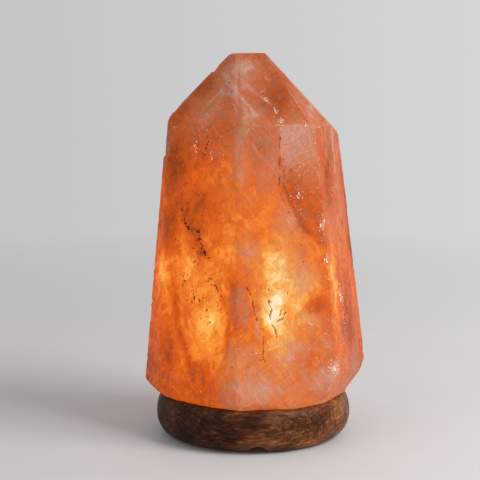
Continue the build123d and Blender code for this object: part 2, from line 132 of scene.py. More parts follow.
# %% Make a mesh from a grid of points
def skin(name, grid, round_columns=True, round_rows=False):
    """A surface through grid[row, column], closed across the columns, and across the rows for a
    ring. First and last rows that shrink to a point become poles, with triangles round them."""
    rows, columns = grid.shape[:2]
    number = np.arange(rows * columns).reshape(rows, columns)
    for end in (0, rows - 1):
        if np.ptp(grid[end], axis=0).max() < 1e-7:
            number[end] = number[end, 0]
    used, number = np.unique(number, return_inverse=True)
    number = number.reshape(rows, columns)
    if round_columns:
        number = np.hstack([number, number[:, :1]])
    if round_rows:
        number = np.vstack([number, number[:1]])
    quads = np.stack([number[:-1, :-1], number[:-1, 1:], number[1:, 1:], number[1:, :-1]], -1).reshape(-1, 4)
    low_pole, high_pole = quads[:, 0] == quads[:, 1], quads[:, 2] == quads[:, 3]
    faces = quads[~(low_pole | high_pole)].tolist()
    faces += quads[low_pole][:, [0, 2, 3]].tolist() + quads[high_pole][:, [0, 1, 2]].tolist()
    mesh = bpy.data.meshes.new(name)
    mesh.from_pydata(grid.reshape(-1, 3)[used].tolist(), [], faces)
    mesh.shade_smooth()
    mesh.validate()
    piece = bpy.data.objects.new(name, mesh)
    scene.collection.objects.link(piece)
    print(f"{name}: {len(used)} points, {sum(len(face) - 2 for face in faces)} triangles")
    return piece, used


def rings(radius, height, angle):
    """Rings of points (r sin a, -r cos a, height), one for each row of the columns radius and
    height, with the angles a from the front towards +X."""
    return np.stack([radius * np.sin(angle), -radius * np.cos(angle), height + 0 * angle], -1)


def turned(profile, count):
    """A profile of (radius, height) turned round Z, each point as a ring of that many points."""
    profile = np.asarray(profile, float)
    return rings(profile[:, :1], profile[:, 1:2], np.linspace(0, 2 * np.pi, count, endpoint=False))

# %% [markdown]
# ## The hewn block as a set of planes
#
# A mason hews the block face by face. Each facet is a plane with a compass angle, measured from
# the front towards the right, a lean out of the vertical, and a reach: how far the plane is from
# the middle axis at the height where it was measured. Together the planes bound the block.

# %% Facets
shoulder = base_top + 172.7 * MM
side_facets = [(9, 4.5, 44.5), (64, 6.6, 50.8), (73, 5.8, 51.35), (94, 7.8, 53.35), (132, 8, 49.5),
               (178, 5, 47), (-126, 6.5, 39.5), (-66, 3.3, 54.3), (-38, 4, 42.4)]
crown_facets = [(8, 39.5, 45.3), (62, 43, 51), (88, 42.8, 48.5), (132, 43, 45.5),
                (178, 42, 47), (-126, 40, 45), (-74, 42.2, 57.1), (-40, 32, 42.8)]
foot_facets = [(8, -30, 56), (36, -33, 57.5), (64, -29, 56.6), (94, -41, 58.3), (130, -35, 57.5),
               (178, -33, 56), (-128, -36, 57.5), (-82, -61, 58.3), (-52, -44, 56.8), (-24, -38, 56)]


def planes(facets, height):
    """Normals (sin a cos l, -cos a cos l, sin l) and distances from the origin of facets with
    compass angle a and lean l, through (reach sin a, -reach cos a, height)."""
    a, l, reach = np.array(facets, float).T * [[np.pi / 180], [np.pi / 180], [MM]]
    normals = np.stack([np.sin(a) * np.cos(l), -np.cos(a) * np.cos(l), np.sin(l)], -1)
    points = np.stack([reach * np.sin(a), -reach * np.cos(a), np.full(len(a), height)], -1)
    return normals, (normals * points).sum(-1)


sets = [planes(side_facets, shoulder), planes(crown_facets, shoulder), planes(foot_facets, base_top)]
flat_ends = (np.array([[0, 0, 1.0], [0, 0, -1.0]]), np.array([crystal_top, -base_top]))
facet_normals = np.concatenate([s[0] for s in sets] + [flat_ends[0]])
facet_distances = np.concatenate([s[1] for s in sets] + [flat_ends[1]])


def on_front(places):
    """Points on the front of the block above the (x, z) places, given in millimetres: the plane
    that is met first decides y = (distance - nx x - nz z) / ny."""
    x, z = np.array(places, float).T * MM
    ahead = facet_normals[:, 1] < -0.02
    n, d = facet_normals[ahead], facet_distances[ahead]
    y = (d[:, None] - n[:, :1] * x - n[:, 2:] * z) / n[:, 1:2]
    return np.stack([x, y.max(0), z], -1)


print(len(facet_distances), "planes; the front at mid height is at", on_front([(0, 120)]).round(4).tolist())

# %% [markdown]
# ## Worn edges
#
# Salt is soft, and damp air rounds its edges. Instead of cutting the planes against each other
# and bevelling every ridge, each point of the surface is found along a ray from inside the
# block. The distances t to all the planes are joined by a soft minimum, (sum of t^-p)^(-1/p):
# far from a ridge it is the nearest plane, and at a ridge it falls a little short, which rounds
# it. A smaller p rounds more, so p follows a noise, and it drops at the smooth left shoulder and
# along the blunt ridge that runs down the front of the crown.

# %% Rays from a spine inside the block
low_spine, high_spine = 60 * MM, 190 * MM
mouth_radius = 24 * MM


def spread(fine, weight, count):
    """count + 1 places along fine, closer together where weight is high: the running total of
    weight is cut into equal parts."""
    total = np.concatenate([[0], np.cumsum((weight[1:] + weight[:-1]) / 2 * np.diff(fine))])
    return np.interp(np.linspace(0, total[-1], count + 1), total, fine)


def ray_rows(stage):
    """Start height and elevation of the rays for a stage from 0 to 3: first the elevation rises
    from the cavity's mouth to level, then the start climbs the spine, then it rises to the top."""
    lowest = -np.arctan2(low_spine - base_top, mouth_radius)
    start = low_spine + (high_spine - low_spine) * np.clip(stage - 1, 0, 1)
    elevation = lowest * (1 - np.clip(stage, 0, 1)) + np.pi / 2 * np.clip(stage - 2, 0, 1)
    return start, elevation


def plane_distances(start, elevation, compass):
    """Distance along each ray to each plane, in arrays [row, column, plane]; a plane that the ray
    never meets counts as 1 m away."""
    ray = np.stack([np.cos(elevation) * np.sin(compass), -np.cos(elevation) * np.cos(compass),
                    np.sin(elevation) + 0 * compass], -1)
    towards = ray @ facet_normals.T
    gap = facet_distances - start[..., None] * facet_normals[:, 2]
    return ray, np.where(towards > 1e-4, gap / np.maximum(towards, 1e-4), 1.0)


def reached(ray, length, start):
    """The points where rays from the spine end: ray times length, raised by the ray's start."""
    points = ray * length[..., None]
    points[..., 2] += start
    return points


fine_stage = np.linspace(0, 3, 3001)
fine_start, fine_elevation = ray_rows(fine_stage)
fine_ray, fine_gap = plane_distances(fine_start, fine_elevation, 0 * fine_start)
fine_point = reached(fine_ray, fine_gap.min(-1), fine_start)
run = np.linalg.norm(np.gradient(fine_point, fine_stage, axis=0), axis=-1)
row_count, column_count = 268, 336
hidden_foot = fine_stage < 0.45
stage_rows = spread(fine_stage, run * np.where(hidden_foot, 0.4, 1.0), row_count)
fine_compass = np.linspace(-np.pi, np.pi, 3601)
at_back = ease(1.7, 2.1, abs(fine_compass))
columns = spread(fine_compass, 1 - 0.55 * at_back, column_count)[:-1]
row_start, row_elevation = ray_rows(stage_rows)
print(len(stage_rows), "rows and", len(columns), "columns on the outside of the block")

# %% Worn block, before any chips
start, compass = np.meshgrid(row_start, columns, indexing="ij")
elevation = np.broadcast_to(row_elevation[:, None], start.shape)
ray, gaps = plane_distances(start, elevation, compass)
sharp = gaps.min(-1)
sharp_point = reached(ray, sharp, start)
sharp_x, sharp_y, sharp_z = np.moveaxis(sharp_point, -1, 0)
wear = cloud(sharp_point, 22, 3, 5)
left_shoulder = np.exp(-((compass + 0.50) / 0.3) ** 2 - ((sharp_z - shoulder) / (18 * MM)) ** 2)
front_ridge = np.exp(-((sharp_x / MM + 10.3) / 6) ** 2) * (sharp_y < 0)
front_ridge *= ease(150 * MM, 175 * MM, sharp_z) * ease(243 * MM, 236 * MM, sharp_z)
crisp, crumbled, blunt = 260, 90, 26
power = (crisp + (crumbled - crisp) * ease(0.35, 0.75, wear)) * (1 - 0.7 * left_shoulder)
power = power + (blunt - power) * front_ridge
worn = sharp * (1 / ((sharp[..., None] / gaps) ** power[..., None]).sum(-1)) ** (1 / power)
nearest = np.sort(gaps, axis=-1)
ridge_gap = (nearest[..., 1] - nearest[..., 0]) / MM
block = reached(ray, worn, start)
print(f"wear takes off up to {(sharp - worn).max() / MM:.2f} mm at the ridges")

# %% [markdown]
# ## Marks in the salt
#
# The block is not one colour. Clear windows let the light of the bulb through, veins of iron
# oxide and clay stop it, and milky clouds scatter the daylight. Each mark is a soft ellipse or a
# line on the front of the block, in millimetres across and up, and its edge is made ragged by
# moving the points a little with noise before the distance is measured. The sides and the back
# get marks of the same kinds from noise alone.

# %% Soft ellipses and lines on the block
def ragged(points, size, reach, seed):
    """Points moved by up to reach mm along each axis, by three noises of that cell size."""
    moves = np.stack([cloud(points, size, 3, seed + 9 * axis) for axis in range(3)], -1)
    return points + reach * MM * (2 * moves - 1)


def patch(points, x, z, wide, high, tilt=0.0):
    """exp(-(u / wide)^2 - (v / high)^2 - (dy / 30)^2) in mm, where u and v are measured across
    and up from (x, z) on the front, turned anticlockwise by tilt degrees."""
    away = (points - on_front([(x, z)])[0]) / MM
    c, s = math.cos(math.radians(tilt)), math.sin(math.radians(tilt))
    u, v = away[..., 0] * c + away[..., 2] * s, away[..., 2] * c - away[..., 0] * s
    return np.exp(-(u / wide) ** 2 - (v / high) ** 2 - (away[..., 1] / 30) ** 2)


def line(points, width, places):
    """exp(-(d / width)^2) in mm, where d is the shortest distance to the line through the
    (x, z) places on the front."""
    ends = on_front(places) / MM
    nearest_run = np.full(points.shape[:-1], 1000.0)
    for a, b in zip(ends[:-1], ends[1:]):
        along = np.clip((points / MM - a) @ (b - a) / ((b - a) @ (b - a)), 0, 1)
        off_line = points / MM - a - along[..., None] * (b - a)
        nearest_run = np.minimum(nearest_run, np.linalg.norm(off_line, axis=-1))
    return np.exp(-(nearest_run / width) ** 2)


def patches(points, places):
    """The strongest of several patches, each given as (strength, x, z, wide, high, tilt)."""
    return np.max([strength * patch(points, *place) for strength, *place in places], axis=0)


def strokes(points, ways):
    """The strongest of several lines, each given as (strength, width, places)."""
    return np.max([strength * line(points, width, way) for strength, width, way in ways], axis=0)


soft_points = ragged(block, 14, 5, 31)
fine_points = ragged(block, 4, 1.2, 61)
x_mm, y_mm, z_mm = np.moveaxis(block / MM, -1, 0)
print("the front spans", round(x_mm.min(), 1), "to", round(x_mm.max(), 1), "mm across")

# %% The rough panel right of the long crack
panel_left = np.interp(z_mm, [120, 125, 139, 162, 202], [46, 42, 28, 16, 16])
panel_right = np.interp(z_mm, [120, 141, 156, 172, 196], [46, 44, 43, 41, 38])
panel_warp = 3 * (cloud(block, 6, 3, 71) - 0.5)
inside = ease(0, 1.2, x_mm - panel_left + panel_warp) * ease(0, 1.5, panel_right - x_mm)
panel = inside * ease(124, 130, z_mm) * ease(202.5, 200.5, z_mm) * (y_mm < 0)
right_faces = ease(40, 47, x_mm) * ease(-50, -20, -abs(y_mm + 15)) * ease(205, 192, z_mm)
print(f"the panel covers {100 * panel.mean():.1f} % of the points")

# %% Light of the bulb through the salt
bulb_heart = np.array([0, 0, 94 * MM])
cavity_top = base_top + 110 * MM
gone = np.linalg.norm(block - bulb_heart, axis=-1)
salt_path = np.zeros_like(gone)
steps = 14
for step in range(steps):
    place = bulb_heart + (block - bulb_heart) * (step + 0.5) / steps
    in_salt = (np.hypot(place[..., 0], place[..., 1]) > mouth_radius) | (place[..., 2] > cavity_top)
    salt_path += in_salt * (0.55 + 0.9 * cloud(place, 24, 3, 21)) * gone / steps / MM
print(f"the light passes {salt_path.min():.0f} to {salt_path.max():.0f} mm of salt")

# %% Clear windows and dark veins
windows = [  # strength, x, z, half width, half height, tilt
    (1.0, 11, 92, 10.5, 14, -8), (1.0, 13, 85, 10, 10, 20), (0.74, 14, 112, 12, 20),
    (0.3, -28, 80, 10, 10, 20), (0.08, -31, 92, 17, 24, 10), (0.62, -57, 103, 5, 19),
    (0.72, 50, 102, 3.2, 34, 4), (0.52, 27, 98, 14, 20), (0.08, -10, 143, 16, 16, 30),
    (0.34, 16, 68, 12, 16), (0.25, -40, 112, 8, 12, -12), (0.22, -22, 172, 12, 12, 20),
    (0.05, -14, 62, 9, 8), (0.22, -2, 120, 8, 12), (0.12, 4, 152, 10, 16)]
shades = [
    (0.33, -9, 90, 7.0, 19), (0.65, -46, 176, 9, 16, 10), (0.62, -33, 150, 13, 9, -35),
    (0.55, 37, 90, 6, 5, 30), (0.35, -30, 40, 14, 8), (0.25, 24, 160, 7, 12, 10),
    (0.42, 15, 218, 9, 10, -40), (0.4, -53, 58, 5, 12), (0.4, -34, 47, 6, 8, 30), (0.35, 30, 60, 9, 14),
    (0.22, -46, 206, 10, 9, 30), (0.35, -34, 222, 6, 9, -40), (0.6, -53, 132, 6, 12),
    (0.14, -4, 150, 18, 16), (0.5, 47, 170, 4, 22, 4), (0.18, -21, 131, 8, 9), (0.14, -24, 59, 9, 9),
    (0.22, -33, 179, 10, 10), (0.22, 4, 186, 9, 10), (0.22, -49, 59, 6, 9), (0.5, 60, 84, 4, 26, 4),
    (0.2, 33, 210, 5, 12, -40)]
veins = [  # strength, width, (x, z) places
    (0.62, 6.0, [(-43, 151), (-36, 133), (-30, 124)]),
    (0.28, 5.0, [(-31, 127), (-23, 118), (-14, 108), (-9, 100)]),
    (0.45, 1.6, [(-30, 122), (-22, 113), (-14, 105), (-6, 98)]),
    (0.4, 1.6, [(-3, 104), (2, 90), (6, 74), (9, 60)]), (0.42, 2.6, [(-49, 93), (-48, 76)]),
    (0.75, 3.0, [(-46, 72), (-43, 58), (-37, 46)]),
    (0.45, 2.0, [(18, 178), (19, 165), (26, 148), (36, 134)]),
    (0.35, 2.0, [(-22, 104), (-17, 84), (-15, 70), (-19, 60)])]
clearing = 1 - patches(soft_points, windows)
far_noise = cloud(soft_points, [34, 34, 60], 3, 41)
far_marks = ease(-12, 12, y_mm) * ease(0.52, 0.70, far_noise)
stained = np.maximum.reduce([0.75 * far_marks, patches(soft_points, shades), strokes(soft_points, veins)])
plates = [  # change of depth, change of haze, x, z, half width, half height, tilt: crisp-edged
    (-0.22, 0.0, 13, 113, 8, 13, -3), (0.1, 0.1, -3, 124, 8, 17, 6), (0.18, 0.27, -9, 89, 7, 15, 4),
    (-0.08, 0.1, 32, 108, 10, 10, 30), (0.35, 0.0, 38, 91, 8, 5, 20), (0.05, 0.18, -13, 60, 8, 10, -20),
    (0.14, 0.0, -40, 184, 14, 14, 20), (0.22, -0.05, -48, 152, 7, 16, 12),
    (-0.12, 0.04, -30, 212, 14, 12, -40), (0.05, 0.06, 25, 213, 6, 14, -35),
    (0.1, 0.12, 30, 66, 12, 7, 35), (-0.12, 0.06, 20, 76, 9, 8, -30), (0.2, 0.1, 6, 178, 9, 22, 4),
    (-0.1, -0.05, -28, 66, 10, 7, 25)]
plate_masks = [ease(0.38, 0.50, patch(fine_points, *where)) for _, _, *where in plates]
plate_depth = sum(plate[0] * mask for plate, mask in zip(plates, plate_masks))
plate_haze = sum(plate[1] * mask for plate, mask in zip(plates, plate_masks))
going_down = ease(190, 150, z_mm)
rough_low = panel * going_down
rough_high = panel * ease(165, 195, z_mm)
# painted shade: the left side and the left outline are made deeper and less milky, away from the window
# light, and both outlines deeper where the surface turns away, so they glow and reflect less
shaded_left_side = ease(-12, -34, x_mm) * (y_mm < 0)
shaded_left_edge = ease(-44, -54, x_mm) * (y_mm < 5)
right_low = ease(-6, 24, x_mm) * ease(160, 135, z_mm) * (y_mm < 0)
outline_shade = 0.26 * shaded_left_edge + 0.18 * ease(50, 60, x_mm)
murk = 1 + 1.6 * stained + plate_depth + 0.18 * rough_low - 0.24 * rough_high + 0.22 * shaded_left_side + outline_shade
fading_length = 62  # mm of clear salt in which the light falls to 1/e
depth = 1 - np.exp(-salt_path * clearing * murk / fading_length)
print(f"depth runs from {depth.min():.2f} to {depth.max():.2f}")

# %% Milky clouds
clouds = [
    (1.0, 36, 211, 5, 16, -42), (0.6, 21, 149, 7, 9), (0.6, -10, 226, 12, 9), (0.5, -23, 209, 12, 10),
    (0.7, -9, 180, 6, 18), (0.22, 8, 186, 14, 16), (0.28, -4, 156, 9, 12), (0.3, -27, 58, 9, 9),
    (0.45, -54, 190, 4, 16), (1.05, -5, 41, 22, 12), (0.68, 25, 61, 20, 16), (0.7, 1, 84, 3, 14, -10),
    (0.4, -12, 60, 8, 14, 10), (0.8, -55, 44, 8, 11), (0.5, 40, 50, 14, 10),
    (0.35, -52, 103, 1.4, 18, -4), (0.5, -9, 90, 2.2, 16), (0.68, 49, 51, 6, 9, -35),
    (0.4, 26, 112, 10, 18, 20), (0.3, -31, 214, 8, 8, -40), (0.7, -7, 233, 8, 6), (0.45, -8, 92, 8, 18),
    (0.5, -4, 126, 8, 12), (0.5, -4, 60, 8, 9), (0.6, 33, 83, 8, 9), (0.5, -20, 219, 3, 9, 20),
    (0.5, -2, 205, 9, 2.5, 25)]
general = 0.15 + 0.33 * ease(100, 200, z_mm) + 0.26 * ease(62, 38, z_mm)
mottle = cloud(block, 20, 4, 91) - 0.5
# painted highlight: the upright veil near x -9 mm lies on the blunt front ridge of the crown; the other veils
# are milky streaks in the salt
veils = strokes(fine_points, [
    (0.34, 1.5, [(-18, 231), (-9, 219), (1, 207)]), (0.28, 1.2, [(-14, 233), (-2, 222), (10, 214)]),
    (0.26, 1.6, [(-28, 214), (-20, 221), (-12, 218), (-4, 208)]), (0.30, 1.2, [(44, 198), (45, 176)]),
    (0.22, 2.2, [(-9, 198), (-10, 184), (-9, 168)]), (0.22, 0.9, [(-18, 196), (-19, 182)])])
named = patches(soft_points, clouds)
haze = np.clip(general + 0.55 * mottle + 0.13 * right_faces
               - (0.30 * shaded_left_side + 0.26 * shaded_left_edge) * ease(190, 160, z_mm) + 0.09 * right_low
               + panel * (0.35 - 0.49 * going_down) - 0.75 * stained + plate_haze + veils
               + (1 - general) * named * (0.6 + 0.8 * cloud(block, 5, 3, 95)), 0, 1)
print(f"haze covers {100 * (haze > 0.5).mean():.0f} % of the block")

# %% Where cracks, specks, painted glints and bright fracture lines lie
crack_ways = [
    (0.95, 0.8, [(16, 203), (15.5, 190), (16, 172), (15, 162), (21, 149), (28, 139), (42, 125)]),
    (1.1, 0.75, [(9, 102), (8, 96), (11, 90), (9.5, 85), (11, 81.5)]),
    (1.1, 1.1, [(11, 81), (13.5, 77), (14, 72)]),
    (1.1, 0.75, [(8, 96), (15, 91.5), (17, 90), (16, 84.5)]),
    (1.1, 0.75, [(19, 88), (18.5, 83.5), (12, 81)]), (0.95, 0.8, [(20, 100), (20.5, 95), (19, 90.5)]),
    (1.1, 1.1, [(20.5, 120), (22, 117.5)]), (0.8, 0.7, [(35, 121.5), (32, 119.5), (30, 117.5)]),
    (1.1, 1.0, [(-4.5, 103), (-1, 96), (0, 90), (1.5, 83)]),
    (0.95, 0.9, [(1.5, 83), (4.5, 76), (6, 69), (5, 61), (7, 57)]),
    (0.9, 1.0, [(-28, 229), (-27, 222)]), (0.8, 0.9, [(-56, 170), (-53, 164), (-50, 158)]),
    (0.6, 0.8, [(-48, 92), (-48, 78), (-46, 64)])]
speck_ways = [
    (1.0, 3.2, [(-45, 152), (-43, 143), (-36, 134), (-31, 127), (-27, 120)]),
    (0.9, 3.0, [(-38, 126), (-33, 122), (-36, 114)]),
    (0.6, 2.0, [(-4, 104), (0, 94), (4, 78), (7, 57)]),
    (0.85, 4.0, [(-36, 197), (-28, 192), (-33, 179)]),
    (0.72, 3.0, [(-40, 186), (-34, 196), (-24, 200)]), (0.5, 3.0, [(-16, 206), (-16, 230)]),
    (0.7, 5.0, [(-30, 108), (-22, 98), (-18, 88)]), (0.5, 4.5, [(-42, 104), (-32, 88), (-24, 76)]),
    (0.6, 4.0, [(-52, 150), (-50, 130), (-44, 116)])]
crack = strokes(fine_points, crack_ways)
specks = np.clip(strokes(soft_points, speck_ways)
                 + 0.30 * ease(0.45, 0.7, cloud(block, 30, 2, 115)), 0, 1)
# painted glints: bright flecks where tiny chips catch the light, at these places, along the ridges on the
# right and at random; the shader paints them near white
painted_glint_places = [
    (7, 217, 2.6, 2), (13, 209, 2, 4), (16, 204, 2, 2.5), (6, 221, 2.4, 1.6), (42, 142, 2.4, 4),
    (45, 120, 1.6, 5), (28, 158, 2, 1.5), (-4, 199, 2, 4), (4, 194, 1.6, 2.5), (-9, 75, 2, 3),
    (1, 64, 1.6, 2), (49, 52, 3.5, 6), (-36, 184, 0.9, 6), (-26, 182, 0.8, 4), (44, 70, 1, 8),
    (54, 96, 1, 6)]
right_ridges = ease(22, 34, x_mm)
painted_glints = np.max([patch(fine_points, x, z, w, h) for x, z, w, h in painted_glint_places], axis=0)
painted_glints = np.clip(painted_glints * 0.75 + 0.26 * right_ridges * np.exp(-ridge_gap / 2.0) + 0.08 * panel
                 + 0.30 * ease(0.4, 0.75, cloud(block, 26, 3, 121)), 0, 1)
heat = patch(soft_points, 14, 92, 11, 19, 0)
lower_right = np.clip(patch(soft_points, 34, 78, 20, 22, 0) + patch(soft_points, 28, 60, 22, 18, 0), 0, 1)
fractures = np.clip(0.9 * lower_right + 0.5 * heat + 0.3 * right_faces, 0, 1)
# painted light: along these lines, and in the fracture zones, the salt is painted to glow brighter and look
# paler, as fractures that catch the bulb's light
bright_ways = [
    (0.9, [(28, 89), (36, 78), (47, 64)]), (1.0, [(9, 65), (16, 67.5)]),
    (1.0, [(32, 64), (36, 66), (40, 70)]), (1.0, [(34.5, 89), (38, 92)]), (0.8, [(20, 58), (25, 62)]),
    (0.8, [(16, 50), (19, 52)]), (0.9, [(22, 102), (27, 107), (30, 109)]),
    (0.8, [(24, 52), (33, 58), (42, 60)]), (0.7, [(-40, 92), (-30, 84), (-22, 74)]),
    (0.7, [(16, 202), (16, 176), (16, 162)]), (0.8, [(24, 150), (30, 139), (34, 133)]),
    (0.7, [(6, 126), (6, 112), (6, 98)])]
bright = strokes(fine_points, [(strength, 0.8, way) for strength, way in bright_ways])
# painted highlight: ridge marks a pale line along the worn ridges, broken in places by noise
broken = 0.45 + 0.55 * ease(0.40, 0.58, cloud(block, 7, 2, 135))
ridge = np.exp(-ridge_gap / 1.3) * (1 - left_shoulder) * (1 - front_ridge) * broken
print(f"cracks near {int((crack > 0.5).sum())} points, flecks near {int((painted_glints > 0.5).sum())}")

# %% [markdown]
# ## Chips, ledges and scratches
#
# Relief only ever goes inwards, so the block stays within its planes. The faces undulate a
# little, ridges are chipped where a noise is high, the rough panel lies a step deeper and is
# scored, the right faces carry fine upright flutes, and the foot has slanting tool scratches.

# %% Relief
along_scratch = np.stack([x_mm * 0.8 - z_mm * 0.6, y_mm * 0.15, (x_mm * 0.6 + z_mm * 0.8) * 0.12], -1) * MM
undulation = 0.30 * cloud(block, 26, 3, 141)
rippled = 0.16 * cloud(block, 4.5, 2, 151)
chips = 1.1 * np.exp(-ridge_gap / 1.4) * ease(0.58, 0.75, cloud(block, 6, 3, 161))
terraces = np.floor(7 * cloud(block, [16, 16, 30], 2, 171)) / 7
flutes = 0.20 * right_faces * cloud(block, [1.6, 1.6, 26], 2, 181)
scored = panel * (0.20 + 0.50 * cloud(along_scratch, 1.5, 2, 191))
scratched = ease(60, 52, z_mm) * ease(20, 35, x_mm) * 0.35
scratched = scratched * cloud(along_scratch, 1.4, 2, 201)
scar = 0.9 * ease(179.5, 181, z_mm + 4 * mottle) * ease(-40, -50, x_mm)
scar = scar * ease(206, 198, z_mm)
relief = undulation + rippled + chips + 0.25 * terraces + flutes + scored + scratched + scar + 0.4 * crack
relief = relief * ease(0.3, 2.5, z_mm - base_top / MM)
hewn = reached(ray, worn - relief * MM, start)
print(f"relief goes {relief.min():.2f} to {relief.max():.2f} mm in")

# %% The block with its cavity, as one closed surface
cone_foot = cavity_top - 8 * MM
bored_radius = np.concatenate([np.linspace(0, mouth_radius, 7), np.full(17, mouth_radius)])
bored_height = np.concatenate([np.linspace(cavity_top, cone_foot, 7),
                               np.linspace(cone_foot, base_top, 19)[1:-1]])
bored = rings(bored_radius[:, None], bored_height[:, None], columns)
salt_block, used = skin("salt_block", np.concatenate([bored, hewn]))
salt_marks = {"depth": depth, "haze": haze, "crack": crack, "specks": specks, "painted_glints": painted_glints, "heat": heat,
              "fractures": fractures, "ridge": ridge, "bright": bright, "panel": panel, "flutes": right_faces}
# painted light: the cavity wall is given a shallow depth, so it glows as if lit by the bulb
in_cavity = {"depth": 0.25, "haze": 0.3}
for title, values in salt_marks.items():
    whole = np.concatenate([np.full(bored.shape[:2], in_cavity.get(title, 0.0)), values]).ravel()[used]
    attribute = salt_block.data.attributes.new(title, "FLOAT", "POINT")
    attribute.data.foreach_set("value", whole.astype(np.float32))
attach(salt_block, "lamp")
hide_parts("salt_crystal")

# %% [markdown]
# ## Nodes in plain words
#
# A finish is a tree of shader nodes. The helpers below add one node at a time to the tree that is
# being built: a plain number goes on the socket itself, and another node's output is linked to
# it. An effect that more than one finish uses is a group with named inputs, built once.

# %% Helpers for shader nodes
tree = None


def add(kind, inputs=None, **settings):
    """Adds a node to the tree. settings are its own options; inputs are its sockets by name or
    number."""
    made = tree.nodes.new("ShaderNode" + kind)
    for key, value in settings.items():
        setattr(made, key, value)
    for key, value in (inputs or {}).items():
        if isinstance(value, bpy.types.NodeSocket):
            tree.links.new(value, made.inputs[key])
        else:
            made.inputs[key].default_value = value
    return made


def maths(operation, *values, clamp=False):
    """One Math node: FRACT, POWER, MAXIMUM and so on of one to three values."""
    return add("Math", dict(enumerate(values)), operation=operation, use_clamp=clamp).outputs[0]


def times(first, second):
    """The product of two values."""
    return maths("MULTIPLY", first, second)


def more(*values, start=0.0, clamp=False):
    """start plus several sockets or (socket, weight) pairs, with one node for each."""
    for number, value in enumerate(values, 1):
        socket, weight = value if isinstance(value, tuple) else (value, 1.0)
        start = maths("MULTIPLY_ADD", socket, weight, start, clamp=clamp and number == len(values))
    return start


def vector(operation, *values):
    """One Vector Math node of one to three vectors. A length comes out as a number."""
    made = add("VectorMath", dict(enumerate(values)), operation=operation)
    return made.outputs["Value" if operation == "LENGTH" else "Vector"]


def between(value, low, high, to_low=0.0, to_high=1.0):
    """Map Range: low to high becomes to_low to to_high, clamped at both ends."""
    return add("MapRange", {"Value": value, "From Min": low, "From Max": high,
                            "To Min": to_low, "To Max": to_high}).outputs[0]


def mix(share, first, second, mode="MIX"):
    """Mix of two colours, each a link or (red, green, blue), by a share from 0 to 1."""
    first, second = [(*colour, 1) if isinstance(colour, tuple) else colour for colour in (first, second)]
    return add("Mix", {0: share, 6: first, 7: second}, data_type="RGBA", blend_type=mode).outputs[2]


def ramp(share, stops):
    """A colour ramp from (place, red, green, blue) stops."""
    made = add("ValToRGB", {0: share})
    points = made.color_ramp.elements
    while len(points) < len(stops):
        points.new(0.5)
    for point, (place, *colour) in zip(points, stops):
        point.position, point.color = place, (*colour, 1)
    return made.outputs[0]


def bump(strength, distance, height):
    """A Bump node's normal."""
    return add("Bump", {"Strength": strength, "Distance": distance, "Height": height}).outputs[0]


def finish(name, **plain):
    """A new material with its Principled shader. Its tree becomes the one that the helpers add to,
    and plain values go straight on the sockets."""
    global tree
    material = bpy.data.materials.new(name)
    material.use_nodes = True
    tree = material.node_tree
    shader = tree.nodes["Principled BSDF"]
    for key, value in plain.items():
        shader.inputs[key.replace("_", " ")].default_value = value
    return material, shader


def feed(shader, **sockets):
    """Links each output to the shader's input of that name."""
    for key, value in sockets.items():
        tree.links.new(value, shader.inputs[key.replace("_", " ")])


def dress(piece, material):
    """Gives the whole piece one material."""
    piece.data.materials.clear()
    piece.data.materials.append(material)

# %% Shared group: fine grain on object coordinates
def new_group(title, inputs, outputs):
    """An empty node group with inputs by name and default, and outputs by name. Its tree becomes
    the one that the helpers add to."""
    global tree
    tree = group = bpy.data.node_groups.new(title, "ShaderNodeTree")
    for name, default in inputs.items():
        kind = "NodeSocketVector" if isinstance(default, tuple) else "NodeSocketFloat"
        group.interface.new_socket(name, in_out="INPUT", socket_type=kind).default_value = default
    for name in outputs:
        group.interface.new_socket(name, in_out="OUTPUT", socket_type="NodeSocketFloat")
    given, out = group.nodes.new("NodeGroupInput"), group.nodes.new("NodeGroupOutput")
    return group, given.outputs, out.inputs


def make_grain_group():
    """Layered noise turned by Turn about Y and stretched by Stretch, as a 0-1 mask: Size is in
    features per metre."""
    group, given, out = new_group("fine_grain", {
        "Size": 300.0, "Low": 0.35, "High": 0.65, "Turn": 0.0, "Stretch": (1, 1, 1)}, ["Mask"])
    place = add("TexCoord").outputs["Object"]
    place = add("VectorRotate", {"Vector": place, "Angle": given["Turn"]}, rotation_type="Y_AXIS").outputs[0]
    noise = add("TexNoise", {"Vector": vector("MULTIPLY", place, given["Stretch"]), "Scale": given["Size"],
                             "Detail": 4.0, "Roughness": 0.6}).outputs["Fac"]
    tree.links.new(between(noise, given["Low"], given["High"]), out["Mask"])
    return group


def make_cleavage_group():
    """Salt splits into blocks: object coordinates bent by noise, then Voronoi cells, Size to the
    metre. Tone is one number for each cell, and Seam is 1 on the walls between cells, Thin wide."""
    group, given, out = new_group("cleavage", {
        "Size": 70.0, "Bend": 0.01, "Thin": 0.03, "Stretch": (1, 1, 0.6)}, ["Tone", "Seam"])
    place = add("TexCoord").outputs["Object"]
    bend = add("TexNoise", {"Vector": place, "Scale": 60.0, "Detail": 3.0}).outputs["Color"]
    bend = vector("SUBTRACT", bend, (0.5, 0.5, 0.5))
    bend = add("VectorMath", {0: bend, "Scale": given["Bend"]}, operation="SCALE").outputs[0]
    place = vector("MULTIPLY", vector("ADD", place, bend), given["Stretch"])
    cells = add("TexVoronoi", {"Vector": place, "Scale": given["Size"], "Smoothness": 0.25},
                feature="SMOOTH_F1")
    walls = add("TexVoronoi", {"Vector": place, "Scale": given["Size"]}, feature="DISTANCE_TO_EDGE")
    tree.links.new(add("SeparateColor", {0: cells.outputs["Color"]}).outputs[0], out["Tone"])
    tree.links.new(between(walls.outputs["Distance"], 0.0, given["Thin"], 1.0, 0.0), out["Seam"])
    return group


grain_group, cleavage_group = make_grain_group(), make_cleavage_group()


